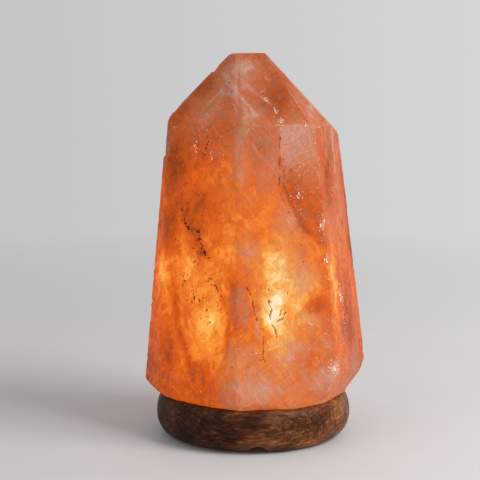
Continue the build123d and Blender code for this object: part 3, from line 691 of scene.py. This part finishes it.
def placed(group, **values):
    """A shared group placed in the tree with its own values."""
    made = add("Group", node_tree=group)
    for key, value in values.items():
        made.inputs[key].default_value = value
    return made.outputs


def grain(size, low=0.35, high=0.65, stretch=(1, 1, 1), turn=0.0):
    """The mask of the fine grain group, turned by turn degrees."""
    turn = math.radians(turn)
    return placed(grain_group, Size=size, Low=low, High=high, Stretch=stretch, Turn=turn)["Mask"]


def cleavage(size, bend, thin, stretch):
    """Tone and seam of the cleavage group."""
    made = placed(cleavage_group, Size=size, Bend=bend, Thin=thin, Stretch=stretch)
    return made["Tone"], made["Seam"]


print("shared groups:", [group.name for group in bpy.data.node_groups])

# %% [markdown]
# ## Rock salt
#
# Light that has come a short way through the salt is pale yellow. The longer the way, the more
# blue and green is lost: orange, then red, then brown. So one number, depth, sets the colour of
# the light that leaves the surface, through a ramp. Milky parts also scatter the light of the
# room, so haze raises the base colour and hides some of the glow. Finer noise than the mesh can
# hold is added here to both.

# %% Rock salt: masks
salt, shader = finish("hewn_rock_salt", Specular_IOR_Level=0.09, Coat_Weight=0.05, Coat_Roughness=0.2,
                      Emission_Strength=1.0)
marks = {title: add("Attribute", attribute_name=title).outputs["Fac"] for title in salt_marks}
domain, _ = cleavage(62.0, 0.012, 0.02, (1, 1, 0.55))
small_domain, seam = cleavage(260.0, 0.005, 0.05, (1, 1, 0.8))
_, wide_seam = cleavage(95.0, 0.010, 0.035, (1, 1, 0.8))
soft_cloud = grain(150, 0.3, 0.7)
fine_cloud = grain(800, 0.3, 0.7)
upright = grain(620, 0.37, 0.63, (1, 1, 0.10))
slanted = grain(420, 0.54, 0.68, (1, 0.5, 0.13), 38)
crossing = grain(460, 0.54, 0.68, (1, 0.5, 0.16), -52)
hatching = times(grain(540, 0.46, 0.62, (0.38, 0.3, 1), 28), marks["panel"])
segments = grain(210, 0.50, 0.58)
# painted glints: glimmer and the dash and fleck masks below are tiny specks, slashes and flecks of highlight
# put into the haze and the base colour
glimmer = grain(1500, 0.60, 0.72, (1, 1, 0.7))
pits = grain(1150, 0.60, 0.72, (1, 1, 0.6), 20)
fluting = times(upright, more(marks["flutes"], start=0.22))
painted_glint = between(more(grain(1100, 0, 1, (1, 1, 0.7)), (marks["painted_glints"], 0.225)), 0.72, 0.76)
glint_dash = between(more(grain(1300, 0, 1, (1, 0.6, 0.28), 35), (marks["painted_glints"], 0.10)), 0.665, 0.72)
speck = between(more(grain(640, 0, 1, (1, 1, 0.8)), (marks["specks"], 0.22)), 0.745, 0.77)
crack_line = between(more(marks["crack"], (grain(420, 0, 1), 0.9)), 1.10, 1.32)
# painted light: bright_line and bright_seam lighten the glow and the haze along fractures that catch the
# bulb's light
bright_line = between(more(marks["bright"], (grain(380, 0, 1), 1.3)), 1.25, 1.50)
heat_crack = times(times(wide_seam, segments), between(marks["heat"], 0.35, 0.6))
bright_seam = times(times(seam, segments), marks["fractures"])
# painted highlight: the pale line along the ridges is added to the haze
ridge_highlight = between(more(marks["ridge"], (fine_cloud, 0.35)), 0.85, 1.05)
dark = more(speck, (crack_line, 0.95), (heat_crack, 0.8), clamp=True)
print("rock salt masks:", len(tree.nodes), "nodes")

# %% Rock salt: light and body
ragged_depth = more(marks["depth"], (domain, 0.08), (small_domain, 0.11), (soft_cloud, 0.05),
                    (fine_cloud, 0.06), (fluting, 0.12), (slanted, -0.08), (crossing, 0.08), (pits, 0.16),
                    (bright_seam, -0.20), (hatching, 0.12), (bright_line, -0.22), start=-0.155)
glow = ramp(ragged_depth, [
    (0.00, 1.00, 0.94, 0.66), (0.10, 1.00, 0.74, 0.30), (0.22, 0.96, 0.46, 0.085), (0.36, 0.86, 0.25, 0.026),
    (0.50, 0.70, 0.125, 0.006), (0.60, 0.60, 0.085, 0.003), (0.71, 0.43, 0.062, 0.003),
    (0.84, 0.25, 0.036, 0.003), (1.00, 0.10, 0.010, 0.0005)])
ragged_haze = more(marks["haze"], (domain, 0.16), (small_domain, 0.16), (soft_cloud, 0.12),
                   (fine_cloud, 0.14), (slanted, 0.14), (crossing, -0.10), (ridge_highlight, 0.35),
                   (bright_seam, 0.10), (bright_line, 0.12), (glimmer, 0.34), (glint_dash, 0.45),
                   (pits, -0.15), (hatching, 0.22), start=-0.277, clamp=True)
body_colour = ramp(ragged_haze, [(0.0, 0.13, 0.022, 0.003), (0.35, 0.26, 0.060, 0.018),
                                 (0.7, 0.40, 0.155, 0.084), (1.0, 0.54, 0.30, 0.22)])
body_colour = mix(dark, body_colour, (0.055, 0.010, 0.003))
# painted glint: the flecks are painted near white in the base colour
body_colour = mix(painted_glint, body_colour, (0.90, 0.80, 0.74))
glow = mix(more((ragged_haze, -0.75), start=1.0), (0, 0, 0), glow)
glow = mix(dark, glow, (0.48, 0.19, 0.03), "MULTIPLY")
glow = mix(times(speck, 0.75), glow, (0, 0, 0))
height = more((glint_dash, 0.3), (small_domain, 0.6), (soft_cloud, 0.3), (fine_cloud, 0.25), (pits, -0.3),
              (glimmer, 0.2), (fluting, 0.4), (painted_glint, 0.3), (dark, -0.5), (seam, -0.2), (hatching, 0.8))
# painted light: the bulb's light through the salt is given out by the surface itself as emission, not lit by
# the bulb
feed(shader, Base_Color=body_colour, Emission_Color=glow,
     Roughness=between(more((fine_cloud, 0.5), (small_domain, 0.5)), 0.2, 0.8, 0.26, 0.56),
     Normal=bump(0.7, 0.0007, height))
dress(salt_block, salt)
print("rock salt:", len(tree.nodes), "nodes")

# %% [markdown]
# ## Wooden base
#
# The base is one disc of hardwood, turned on a lathe: a flat underside, a full round edge that
# is widest at half height, and a flat top. A profile turned round the axis gives it. The lead
# groove, the pads' seats and the screw holes are then cut with Boolean modifiers, as a router
# and a drill would cut them.

# %% Turned disc
def ellipse_arc(centre, half_width, half_height, first, last, count):
    """Points (cx + a cos t, cz + b sin t) for t from first to last degrees."""
    t = np.radians(np.linspace(first, last, count))
    return np.stack([centre[0] + half_width * np.cos(t), centre[1] + half_height * np.sin(t)], -1)


widest = underside + 13 * MM
foot_curve, top_curve = 9.5 * MM, 5.5 * MM
recess_radius, bore_radius, ceiling = 32 * MM, 20 * MM, underside + 13 * MM
bevel = 1 * MM
disc_profile = np.concatenate([
    [(recess_radius + bevel, underside)],
    ellipse_arc((base_radius - foot_curve, widest), foot_curve, widest - underside, -90, 0, 26),
    ellipse_arc((base_radius - top_curve, widest), top_curve, base_top - widest, 0, 90, 26)[1:],
    [(40 * MM, base_top), (bore_radius, base_top), (bore_radius, ceiling + bevel),
     (bore_radius + bevel, ceiling), (recess_radius, ceiling), (recess_radius, underside + bevel)]])
turned_base, _ = skin("turned_base", turned(disc_profile, 240), round_rows=True)

# %% Cut the groove, the pads' seats and the screw holes
def rod(radius, low, high, middle=(0, 0), sides=64):
    """A closed upright cylinder round middle, from low to high."""
    grid = turned([(0, low), (radius, low), (radius, high), (0, high)], sides)
    return grid + np.array([middle[0], middle[1], 0])


def around(radius, degrees):
    """The (x, y) at a radius and an angle, anticlockwise from +X."""
    return radius * math.cos(math.radians(degrees)), radius * math.sin(math.radians(degrees))


groove_wide, groove_high, groove_x = 12.9 * MM, 4.8 * MM, 2.4 * MM
groove_radius = (groove_wide**2 / 4 + groove_high**2) / (2 * groove_high)
past_rim = base_radius + 17.5 * MM
groove = rod(groove_radius, -past_rim, past_rim, sides=128)
cutters = [np.stack([groove[..., 0] + groove_x, -groove[..., 2],
                     groove[..., 1] + underside + groove_high - groove_radius], -1)]
below, over = -1 * MM, base_top + 1 * MM
pad_circle, pad_seat_radius, pad_seat_top = 46 * MM, 6.05 * MM, underside + 1.5 * MM
screw_circle, shank_hole_radius = 40 * MM, 2.25 * MM
head_hole_radius, head_hole_top = 4.5 * MM, underside + 8 * MM
for degrees in (45, 135, 225, 315):
    cutters.append(rod(pad_seat_radius, below, pad_seat_top, around(pad_circle, degrees)))
screw_degrees = (0, 120, 240)
for degrees in screw_degrees:
    middle = around(screw_circle, degrees)
    cutters.append(rod(head_hole_radius, below, head_hole_top, middle))
    cutters.append(rod(shank_hole_radius, head_hole_top - 2 * MM, over, middle, 32))


def cut_away(piece, grids):
    """Takes each closed cutter off the piece with an exact Boolean, and applies it."""
    for grid in grids:
        cutter, _ = skin("cutter", grid)
        knife = piece.modifiers.new("cut", "BOOLEAN")
        knife.operation, knife.solver, knife.object = "DIFFERENCE", "EXACT", cutter
        shaped = bpy.data.meshes.new_from_object(piece.evaluated_get(bpy.context.evaluated_depsgraph_get()))
        piece.modifiers.clear()
        piece.data = shaped
        bpy.data.objects.remove(cutter)
    return piece


cut_away(turned_base, cutters)
turned_base.data.set_sharp_from_angle(angle=math.radians(32))
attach(turned_base, "lamp")
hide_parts("wooden_base")
print("turned base after cutting:", len(turned_base.data.polygons), "faces")

# %% [markdown]
# ## Stained and lacquered wood
#
# The board was sawn along the tree, so its growth rings are long shells round a line that lies
# below the board, along X. The distance from that line, bent by a noise that is stretched along
# the grain, picks the ring. Fine dark pores run the same way. The stain is dark, with a few
# golden streaks, under a satin lacquer that fills most of the pores. The wood is also painted
# lighter towards the right, where the window light falls: painted light.

# %% Wood material
wood, shader = finish("dark_stained_wood", Specular_IOR_Level=0.08, Coat_Weight=0.05, Coat_Roughness=0.22)
place = add("TexCoord").outputs["Object"]
bend = add("TexNoise", {"Vector": vector("MULTIPLY", place, (0.25, 1, 1)), "Scale": 28.0, "Detail": 3.0,
                        "Roughness": 0.55}).outputs["Color"]
moved = vector("MULTIPLY_ADD", vector("SUBTRACT", bend, (0.5, 0.5, 0.5)), (0.004, 0.030, 0.030), place)
from_pith = vector("MULTIPLY", vector("SUBTRACT", moved, (0, 0.05, -0.16)), (0.02, 1, 1))
rings_per_metre = 300.0
late_wood = maths("POWER", maths("FRACT", times(vector("LENGTH", from_pith), rings_per_metre)), 3.0)
fibres = grain(1200, 0.3, 0.7, (0.09, 1, 1))
pores = grain(1700, 0.60, 0.70, (0.06, 1, 1))
stains = grain(55, 0.36, 0.64, (0.6, 1, 1.2))
# painted light: across raises the tone towards +X, the side the window light falls on, so that side is
# lighter and, through the roughness, glossier
across = between(add("SeparateXYZ", {0: place}).outputs[0], -0.05, 0.05, -0.09, 0.24)
golden = grain(420, 0.52, 0.68, (0.25, 1, 1))
tone = more((stains, 0.40), (fibres, 0.30), (golden, 0.25), across, (late_wood, -0.13), (pores, -0.35),
            clamp=True)
stain = ramp(tone, [(0.0, 0.006, 0.002, 0.001), (0.25, 0.026, 0.008, 0.0025), (0.50, 0.085, 0.026, 0.008),
                    (0.72, 0.22, 0.075, 0.024), (1.0, 0.46, 0.19, 0.06)])
feed(shader, Base_Color=stain, Roughness=between(tone, 0, 1, 0.55, 0.38),
     Normal=bump(0.35, 0.0002, more((fibres, 0.4), (pores, -1.0))))
dress(turned_base, wood)
print("stained wood:", len(tree.nodes), "nodes")

# %% [markdown]
# ## Threads
#
# The bulb's cap and the shell that it screws into are thin brass, rolled to a wavy thread. A
# thread is a wave that climbs as it goes round: at each point the wave's place is the height
# over the pitch, less the share of a turn. Both pieces use the same wave, so they fit at rest and
# at every point of the unscrewing.

# %% Rolled shells
def wave(height, angle, pitch):
    """cos(2 pi height / pitch - angle): 1 on the crest of a right-hand thread, -1 in its root."""
    return np.cos(2 * np.pi * height / pitch - angle)


def above(foot, points):
    """(radius, height) points in millimetres over foot, in metres."""
    return np.array(points, float) * MM + np.array([0, foot])


def straight(radius, heights):
    """Points at one radius, in millimetres, at each of the heights, in metres."""
    return np.stack([np.full(len(heights), radius * MM), heights], -1)


thread_pitch, thread_swing = 2.822 * MM, 0.2 * MM


def rolled_shell(name, outline, wall, threaded):
    """A thin turned wall. outline is its outer line from bottom to top, and the inner line is moved
    in by wall along (dz, -dr). Where threaded is 1 both swing out and in with the thread."""
    along = np.gradient(outline, axis=0)
    inwards = np.stack([-along[:, 1], along[:, 0]], -1) / np.linalg.norm(along, axis=-1, keepdims=True)
    both = np.concatenate([outline, (outline + wall * inwards)[::-1]])
    weight = np.concatenate([threaded, threaded[::-1]])[:, None]
    angle = np.linspace(0, 2 * np.pi, 120, endpoint=False)
    radius = both[:, :1] + weight * thread_swing * wave(both[:, 1:], angle, thread_pitch)
    return skin(name, rings(radius, both[:, 1:], angle), round_rows=True)[0]


shell_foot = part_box("screw_shell")[0].z
shell_line = np.concatenate([
    above(shell_foot, [(4.85, 0), (5.6, 0), (6.8, 0), (7.3, 0.2)]),
    straight(7.45, shell_foot + np.linspace(0.8, 14.8, 90) * MM),
    above(shell_foot, [(7.55, 15.3), (7.85, 15.8)])])
over_foot = (shell_line[:, 1] - shell_foot) / MM
threaded = ease(2.0, 3.2, over_foot) * ease(14.4, 13.2, over_foot)
rolled_screw_shell = rolled_shell("rolled_screw_shell", shell_line, 0.4 * MM, threaded)
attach(rolled_screw_shell, "holder")
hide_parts("screw_shell")

# %% Cap of the bulb
cap_foot, skirt_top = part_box("bulb_cap")[0].z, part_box("bulb_cap")[1].z
cap_line = np.concatenate([
    above(cap_foot, [(6.5, 0), (6.7, 0.2)]), straight(6.75, cap_foot + np.linspace(0.5, 13.6, 84) * MM),
    above(cap_foot, [(6.95, 14.2), (7.6, 15.2), (8.25, 16.2)]),
    straight(8.5, np.linspace(cap_foot + 17 * MM, skirt_top, 8))])
over_foot = (cap_line[:, 1] - cap_foot) / MM
threaded = ease(2.4, 3.6, over_foot) * ease(13.4, 12.2, over_foot)
threaded_cap = rolled_shell("threaded_cap", cap_line, 0.3 * MM, threaded)
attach(threaded_cap, "bulb")
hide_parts("bulb_cap")

# %% [markdown]
# ## Nipple and screws
#
# The lead comes up through a hollow steel nipple with a fine cut thread. The block is held by
# three wood screws with flat round heads and a cross slot. Their threads are cut, so the crest
# is narrow: the wave is raised to a power.

# %% Hollow nipple
nipple_foot, nipple_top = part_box("lead_nipple")[0].z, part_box("lead_nipple")[1].z
nipple_line = np.concatenate([
    straight(5, np.linspace(nipple_foot + 0.3 * MM, nipple_top - 0.3 * MM, 118)),
    above(nipple_top, [(4.1, 0), (3.8, 0), (3.6, -0.2)]),
    above(nipple_foot, [(3.6, 0.2), (3.8, 0), (4.1, 0)])])
nipple_radius, nipple_height = nipple_line[:, :1], nipple_line[:, 1:]
angle = np.linspace(0, 2 * np.pi, 72, endpoint=False)
nipple_pitch, thread_depth = 1 * MM, 0.32 * MM
cut = thread_depth * (0.5 - 0.5 * wave(nipple_height, angle, nipple_pitch))
outer_side = nipple_radius > 4.9 * MM
nipple_grid = rings(nipple_radius - np.where(outer_side, cut, 0), nipple_height, angle)
threaded_nipple, _ = skin("threaded_nipple", nipple_grid, round_rows=True)
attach(threaded_nipple, "holder")
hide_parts("lead_nipple")

# %% Wood screws with a cross slot
core_radius, crest, screw_pitch, thread_points = 1.4, 0.55 * MM, 1.8 * MM, 140
slot_reach, slot_half_width, slot_depth = 2.2 * MM, 0.42 * MM, 1.5 * MM


def wood_screw(name, middle, low, high):
    """A turned screw: a domed head, a plain shank, a thread of radius core + crest max(wave, 0)^2,
    and a point. Two bars cut the cross into the head."""
    head = ellipse_arc((2.6 * MM, low + 1.2 * MM), 1.4 * MM, 1.2 * MM, -90, 0, 8)
    shank = above(low, [(4, 2.6), (2, 2.6), (1.95, 12), (1.45, 12.5)])
    threads = straight(core_radius, np.linspace(low + 13 * MM, high - 4 * MM, thread_points))
    point = above(high, [(1.1, -3), (0.6, -1.4), (0, 0)])
    outline = np.concatenate([[(0, low)], head, shank, threads, point])
    place = np.arange(len(outline)) - (len(outline) - len(point) - thread_points)
    cutting = (ease(0, 8, place) * ease(thread_points - 1, thread_points - 20, place))[:, None]
    angle = np.linspace(0, 2 * np.pi, 36, endpoint=False)
    bulge = crest * cutting * np.maximum(wave(outline[:, 1:], angle, screw_pitch), 0) ** 2
    piece, _ = skin(name, rings(outline[:, :1] + bulge, outline[:, 1:], angle) + np.array([*middle, 0]))
    bars = []
    for half_x, half_y in ((slot_reach, slot_half_width), (slot_half_width, slot_reach)):
        x, y, z = np.moveaxis(rod(1.0, low - 1 * MM, low + slot_depth, sides=4), -1, 0)
        bars.append(np.stack([(x - y) * half_x + middle[0], (x + y) * half_y + middle[1], z], -1))
    cut_away(piece, bars)
    piece.data.set_sharp_from_angle(angle=math.radians(40))
    return piece


screws = []
for number, degrees in enumerate(screw_degrees, 1):
    low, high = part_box(f"base_screw_{number}")[0].z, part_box(f"base_screw_{number}")[1].z
    screw = wood_screw(f"wood_screw_{number}", around(screw_circle, degrees), low, high)
    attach(screw, "lamp")
    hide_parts(f"base_screw_{number}")
    screws.append(screw)

# %% [markdown]
# ## Bulb
#
# The glass is blown: a straight neck, a swelling shoulder and a half-round crown, with a wall of
# 0.7 mm. Both sides of the wall are modelled, so that light bends twice, as in real glass. The
# filament is a fine tungsten wire wound to a coil, and the coil is bowed over its support.

# %% Glass with both its walls
def glass_line(neck, shoulder, low, crown, tip):
    """Outline of one wall: a neck, then from neck to shoulder by 3t^2 - 2t^3, then a quarter circle."""
    rim_top, neck_top = low + 2.4 * MM, low + 4.75 * MM
    rise = np.linspace(neck_top, crown, 30)[1:]
    swell = neck + (shoulder - neck) * ease(neck_top, crown, rise)
    arc = ellipse_arc((0, crown), shoulder, tip - crown, 0, 90, 26)[1:]
    arc[-1, 0] = 0
    return np.concatenate([[(neck, low), (neck, rim_top), (neck, neck_top)],
                           np.stack([swell, rise], -1), arc])


glass_foot, glass_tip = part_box("bulb_glass")[0].z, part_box("bulb_glass")[1].z
glass_wall, neck_radius, crown_radius = 0.7 * MM, 7.95 * MM, 14 * MM
crown = glass_tip - crown_radius
outside = glass_line(neck_radius, crown_radius, glass_foot, crown, glass_tip)
inside_wall = glass_line(neck_radius - glass_wall, crown_radius - glass_wall, glass_foot, crown,
                         glass_tip - glass_wall)
blown_glass, _ = skin("blown_glass", turned(np.concatenate([inside_wall[::-1], outside]), 96))
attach(blown_glass, "bulb")
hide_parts("bulb_glass")

# %% Coiled filament
def tube(path, guide, radius, sides):
    """A round wire along path: r (cos a u + sin a v), where u is square to the path and the guide,
    and v to the path and u. Its ends shrink to a point."""
    towards = np.gradient(path, axis=0)
    towards /= np.linalg.norm(towards, axis=-1, keepdims=True)
    u = np.cross(guide, towards)
    u /= np.linalg.norm(u, axis=-1, keepdims=True)
    v = np.cross(towards, u)
    a = np.linspace(0, 2 * np.pi, sides, endpoint=False)[:, None]
    ring = path[:, None] + radius * (np.cos(a) * u[:, None] + np.sin(a) * v[:, None])
    return np.concatenate([np.repeat(path[:1, None], sides, 1), ring, np.repeat(path[-1:, None], sides, 1)])


filament_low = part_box("filament")[0].z + 0.45 * MM
half_bow, bow_height = 6 * MM, 3 * MM
bow_radius = (half_bow**2 + bow_height**2) / (2 * bow_height)
coil_turns, coil_radius, wire_radius = 48, 0.34 * MM, 0.07 * MM
points_for_each_turn = 12
turn = np.linspace(-1, 1, coil_turns * points_for_each_turn + 1)
sweep = turn * math.asin(half_bow / bow_radius)
bow_run = np.stack([np.cos(sweep), 0 * sweep, -np.sin(sweep)], -1)
out_of_bow = np.stack([np.sin(sweep), 0 * sweep, np.cos(sweep)], -1)
centre_line = bow_radius * out_of_bow + np.array([0, 0, filament_low + bow_height - bow_radius])
round_coil = turn[:, None] * np.pi * coil_turns
winding = np.cos(round_coil) * out_of_bow + np.sin(round_coil) * np.array([0, 1.0, 0])
coil = tube(centre_line + coil_radius * winding, bow_run, wire_radius, 6)
coiled_filament, _ = skin("coiled_filament", coil)
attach(coiled_filament, "bulb")
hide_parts("filament")

# %% [markdown]
# ## Metals, mouldings and glass
#
# Bare metal is never even: it is brushed or rolled one way, it has dull spots, and its colour
# shifts where it has tarnished. Moulded plastic and ceramic have a fine matt skin and a slightly
# uneven colour. One maker's function for each kind takes the colours and the sizes of its marks.

# %% Metals
def metal(name, colour, tarnished, shiny, dull, brushed=(1, 1, 0.1), bump_strength=0.15, size=1500):
    """Metal with brushed lines, spots of tarnish and a roughness from shiny to dull."""
    material, shader = finish(name, Metallic=1.0)
    spots, brush, fine = grain(260, 0.42, 0.62), grain(size, 0.3, 0.7, brushed), grain(3200, 0.3, 0.7)
    tone = mix(times(spots, 0.30), colour, tarnished)
    tone = mix(times(brush, 0.12), tone, tuple(c * 0.55 for c in colour))
    rough = more((brush, 0.6), (spots, 0.3))
    feed(shader, Base_Color=tone, Roughness=between(rough, 0.15, 0.85, shiny, dull),
         Normal=bump(bump_strength, 0.00008, more(brush, fine)))
    return material


zinc = metal("zinc_plated_steel", (0.66, 0.67, 0.66), (0.50, 0.52, 0.50), 0.22, 0.42, (1, 1, 0.3))
spring = metal("spring_steel_strip", (0.46, 0.48, 0.52), (0.30, 0.31, 0.34), 0.25, 0.42, (0.1, 1, 0.1))
nickel = metal("nickel_plate", (0.72, 0.69, 0.63), (0.58, 0.54, 0.47), 0.16, 0.32)
brass = metal("pressed_brass", (0.80, 0.58, 0.26), (0.52, 0.34, 0.14), 0.20, 0.40)
cap_brass = metal("rolled_cap_brass", (0.80, 0.70, 0.48), (0.60, 0.48, 0.28), 0.18, 0.36, (1, 1, 0.4))
solder = metal("solder", (0.58, 0.58, 0.60), (0.40, 0.40, 0.43), 0.30, 0.50, (1, 1, 1), 0.4, 900)
wire = metal("drawn_wire", (0.66, 0.62, 0.56), (0.48, 0.43, 0.36), 0.20, 0.36)
print("metals ready")

# %% Plastic, rubber and ceramic
def moulded(name, colour, second, smooth, matt, bump_strength=0.2, size=1800, **plain):
    """A moulded skin: an uneven colour, a fine texture, and a roughness from smooth to matt."""
    material, shader = finish(name, **plain)
    broad, fine = grain(120, 0.3, 0.7), grain(size, 0.3, 0.7)
    tone = more((broad, 0.6), (fine, 0.4))
    feed(shader, Base_Color=mix(tone, colour, second),
         Roughness=between(tone, 0.2, 0.8, smooth, matt), Normal=bump(bump_strength, 0.0001, fine))
    return material


rubber = moulded("pad_rubber", (0.030, 0.030, 0.031), (0.055, 0.054, 0.053), 0.70, 0.90, 0.5, 1400,
                 Specular_IOR_Level=0.3)
black_plastic = moulded("holder_plastic", (0.022, 0.022, 0.024), (0.036, 0.036, 0.038), 0.34, 0.50, 0.25,
                        2200)
grey_nylon = moulded("anchor_nylon", (0.44, 0.45, 0.47), (0.52, 0.53, 0.55), 0.45, 0.60)
ceramic = moulded("white_ceramic", (0.78, 0.75, 0.69), (0.86, 0.84, 0.79), 0.55, 0.75, 0.35, 1100)
black_glass = moulded("black_glass", (0.015, 0.015, 0.022), (0.030, 0.028, 0.036), 0.10, 0.20, 0.10, 700,
                      Coat_Weight=0.3)
print("mouldings ready")

# %% Glass and the hot filament
def glass(name, tint, smears):
    """Clear glass with a faint tint that varies, and smears that dull it a little."""
    material, shader = finish(name, Transmission_Weight=1.0, IOR=1.47)
    smear, bubbles = grain(70, 0.45, 0.75), grain(600, 0.66, 0.74)
    feed(shader, Base_Color=mix(smear, (1, 1, 1), tint),
         Roughness=between(maths("MAXIMUM", smear, bubbles), 0, 1, 0.0, smears),
         Normal=bump(0.04, 0.0002, smear))
    return material


clear_glass = glass("clear_blown_glass", (0.97, 0.96, 0.92), 0.05)
stem_glass = glass("pressed_stem_glass", (0.90, 0.93, 0.90), 0.12)
hot, shader = finish("glowing_tungsten", Metallic=1.0, Roughness=0.5, Emission_Strength=6.0)
heat_marks = grain(700, 0.3, 0.7)
feed(shader, Base_Color=mix(heat_marks, (0.30, 0.28, 0.26), (0.45, 0.40, 0.34)),
     Emission_Color=mix(heat_marks, (1.0, 0.50, 0.16), (1.0, 0.66, 0.30)))
print("glass and filament ready")

# %% Every other piece gets its finish
remade = {rolled_screw_shell: brass, threaded_cap: cap_brass, threaded_nipple: nickel,
          blown_glass: clear_glass, coiled_filament: hot} | dict.fromkeys(screws, zinc)
for piece, material in remade.items():
    dress(piece, material)
finishes = {
    "foot_pad_1 foot_pad_2 foot_pad_3 foot_pad_4": rubber,
    "screw_anchor_1 screw_anchor_2 screw_anchor_3": grey_nylon,
    "stop_bar": zinc, "nipple_nut terminal_screw_1 terminal_screw_2": nickel, "spring_clip": spring,
    "holder_cap holder_sleeve": black_plastic, "contact_carrier": ceramic,
    "centre_contact side_contact terminal_block_1 terminal_block_2": brass, "bulb_insulator": black_glass,
    "bulb_contact": solder, "bulb_stem": stem_glass, "lead_wires filament_support": wire}
for names, material in finishes.items():
    for name in names.split():
        dress(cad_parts[name], material)
print("finished", sum(len(names.split()) for names in finishes), "pieces of the frame")

# %% [markdown]
# ## Floor, background and light
#
# The lamp stands on a plain pale surface that runs into a plain pale background. The floor is
# matt near the lamp, so that it takes a soft shadow, and turns further out into the plain colour
# that the world also shows, so there is no horizon. Floor and background are painted darker on
# the left and lighter on the right: painted shade away from the window light. From below, the
# floor is clear, and a weak light under it shows the underside of the base: its rays pass because
# the floor casts no shadow of its own. The lamp's own shadow still falls on the floor.

# %% Floor and world
# painted shade and light: pale_left is the darker, shaded colour and pale_right the lighter, lit colour of
# the far floor and the background
pale_left, pale_right = (0.555, 0.555, 0.552), (0.665, 0.665, 0.675)
floor, _ = skin("floor", turned([(40.0, 0.0), (6.0, 0.0), (1.0, 0.0), (0.3, 0.0), (0.0, 0.0)], 64))
floor_finish, shader = finish("pale_floor", Roughness=0.6)
place = add("TexCoord").outputs["Object"]
away = vector("LENGTH", place)
sideways = maths("DIVIDE", add("SeparateXYZ", {0: place}).outputs[0], more(away, start=0.9))
side = between(sideways, -0.16, 0.16)
# painted shade: the near floor is darker on the left and lighter on the right
near = mix(side, (0.68, 0.68, 0.69), (0.80, 0.80, 0.81))
feed(shader, Base_Color=mix(times(grain(60), 0.05), near, (1, 1, 1)))
far = add("Emission", {"Color": mix(side, pale_left, pale_right), "Strength": 1.0})
matt_up_to, plain_from = 0.25, 1.0
joined = add("MixShader", {0: between(away, matt_up_to, plain_from), 1: shader.outputs[0], 2: far.outputs[0]})
from_under, in_shadow = add("NewGeometry").outputs["Backfacing"], add("LightPath").outputs["Is Shadow Ray"]
lets_through = maths("MAXIMUM", from_under, in_shadow)
open_below = add("MixShader", {0: lets_through, 1: joined.outputs[0], 2: add("BsdfTransparent").outputs[0]})
tree.links.new(open_below.outputs[0], tree.nodes["Material Output"].inputs["Surface"])
dress(floor, floor_finish)

world = bpy.data.worlds.new("studio")
scene.world = world
world.use_nodes = True
tree = world.node_tree
room = tree.nodes["Background"]
room.inputs["Color"].default_value, room.inputs["Strength"].default_value = (1.0, 0.98, 0.96, 1), 0.42
direction = add("SeparateXYZ", {0: add("TexCoord").outputs["Generated"]}).outputs[0]
# painted shade: the background seen by the camera is darker on the left
shown_colour = mix(between(direction, -0.16, 0.16), pale_left, pale_right)
shown = add("Background", {"Color": shown_colour, "Strength": 1.0})
path = add("LightPath").outputs
seen = maths("MAXIMUM", path["Is Camera Ray"], path["Is Glossy Ray"])
seen = maths("MAXIMUM", seen, path["Is Transmission Ray"])
world_mix = add("MixShader", {0: seen, 1: room.outputs[0], 2: shown.outputs[0]})
tree.links.new(world_mix.outputs[0], tree.nodes["World Output"].inputs["Surface"])
print("floor and world:", len(tree.nodes), "nodes in the world")

# %% Lights of the studio
def soft_light(name, place, size, watts, colour):
    """A square area light that points at the middle of the lamp."""
    data = bpy.data.lights.new(name, "AREA")
    data.size, data.energy, data.color = size, watts, colour
    light = bpy.data.objects.new(name, data)
    light.location = place
    towards = type(light.location)((0, 0, 0.12)) - light.location
    light.rotation_euler = towards.to_track_quat("-Z", "Y").to_euler()
    scene.collection.objects.link(light)


soft_light("window", (1.3, -0.7, 1.2), 1.0, 24, (1, 0.99, 0.97))
soft_light("fill", (-1.4, -1.2, 0.9), 1.4, 4, (0.96, 0.98, 1))
soft_light("from_below", (0.1, -0.3, -0.9), 1.2, 5, (1, 0.99, 0.98))
scene.view_settings.view_transform = "Standard"
print("studio: three lights and a world at", room.inputs["Strength"].default_value)
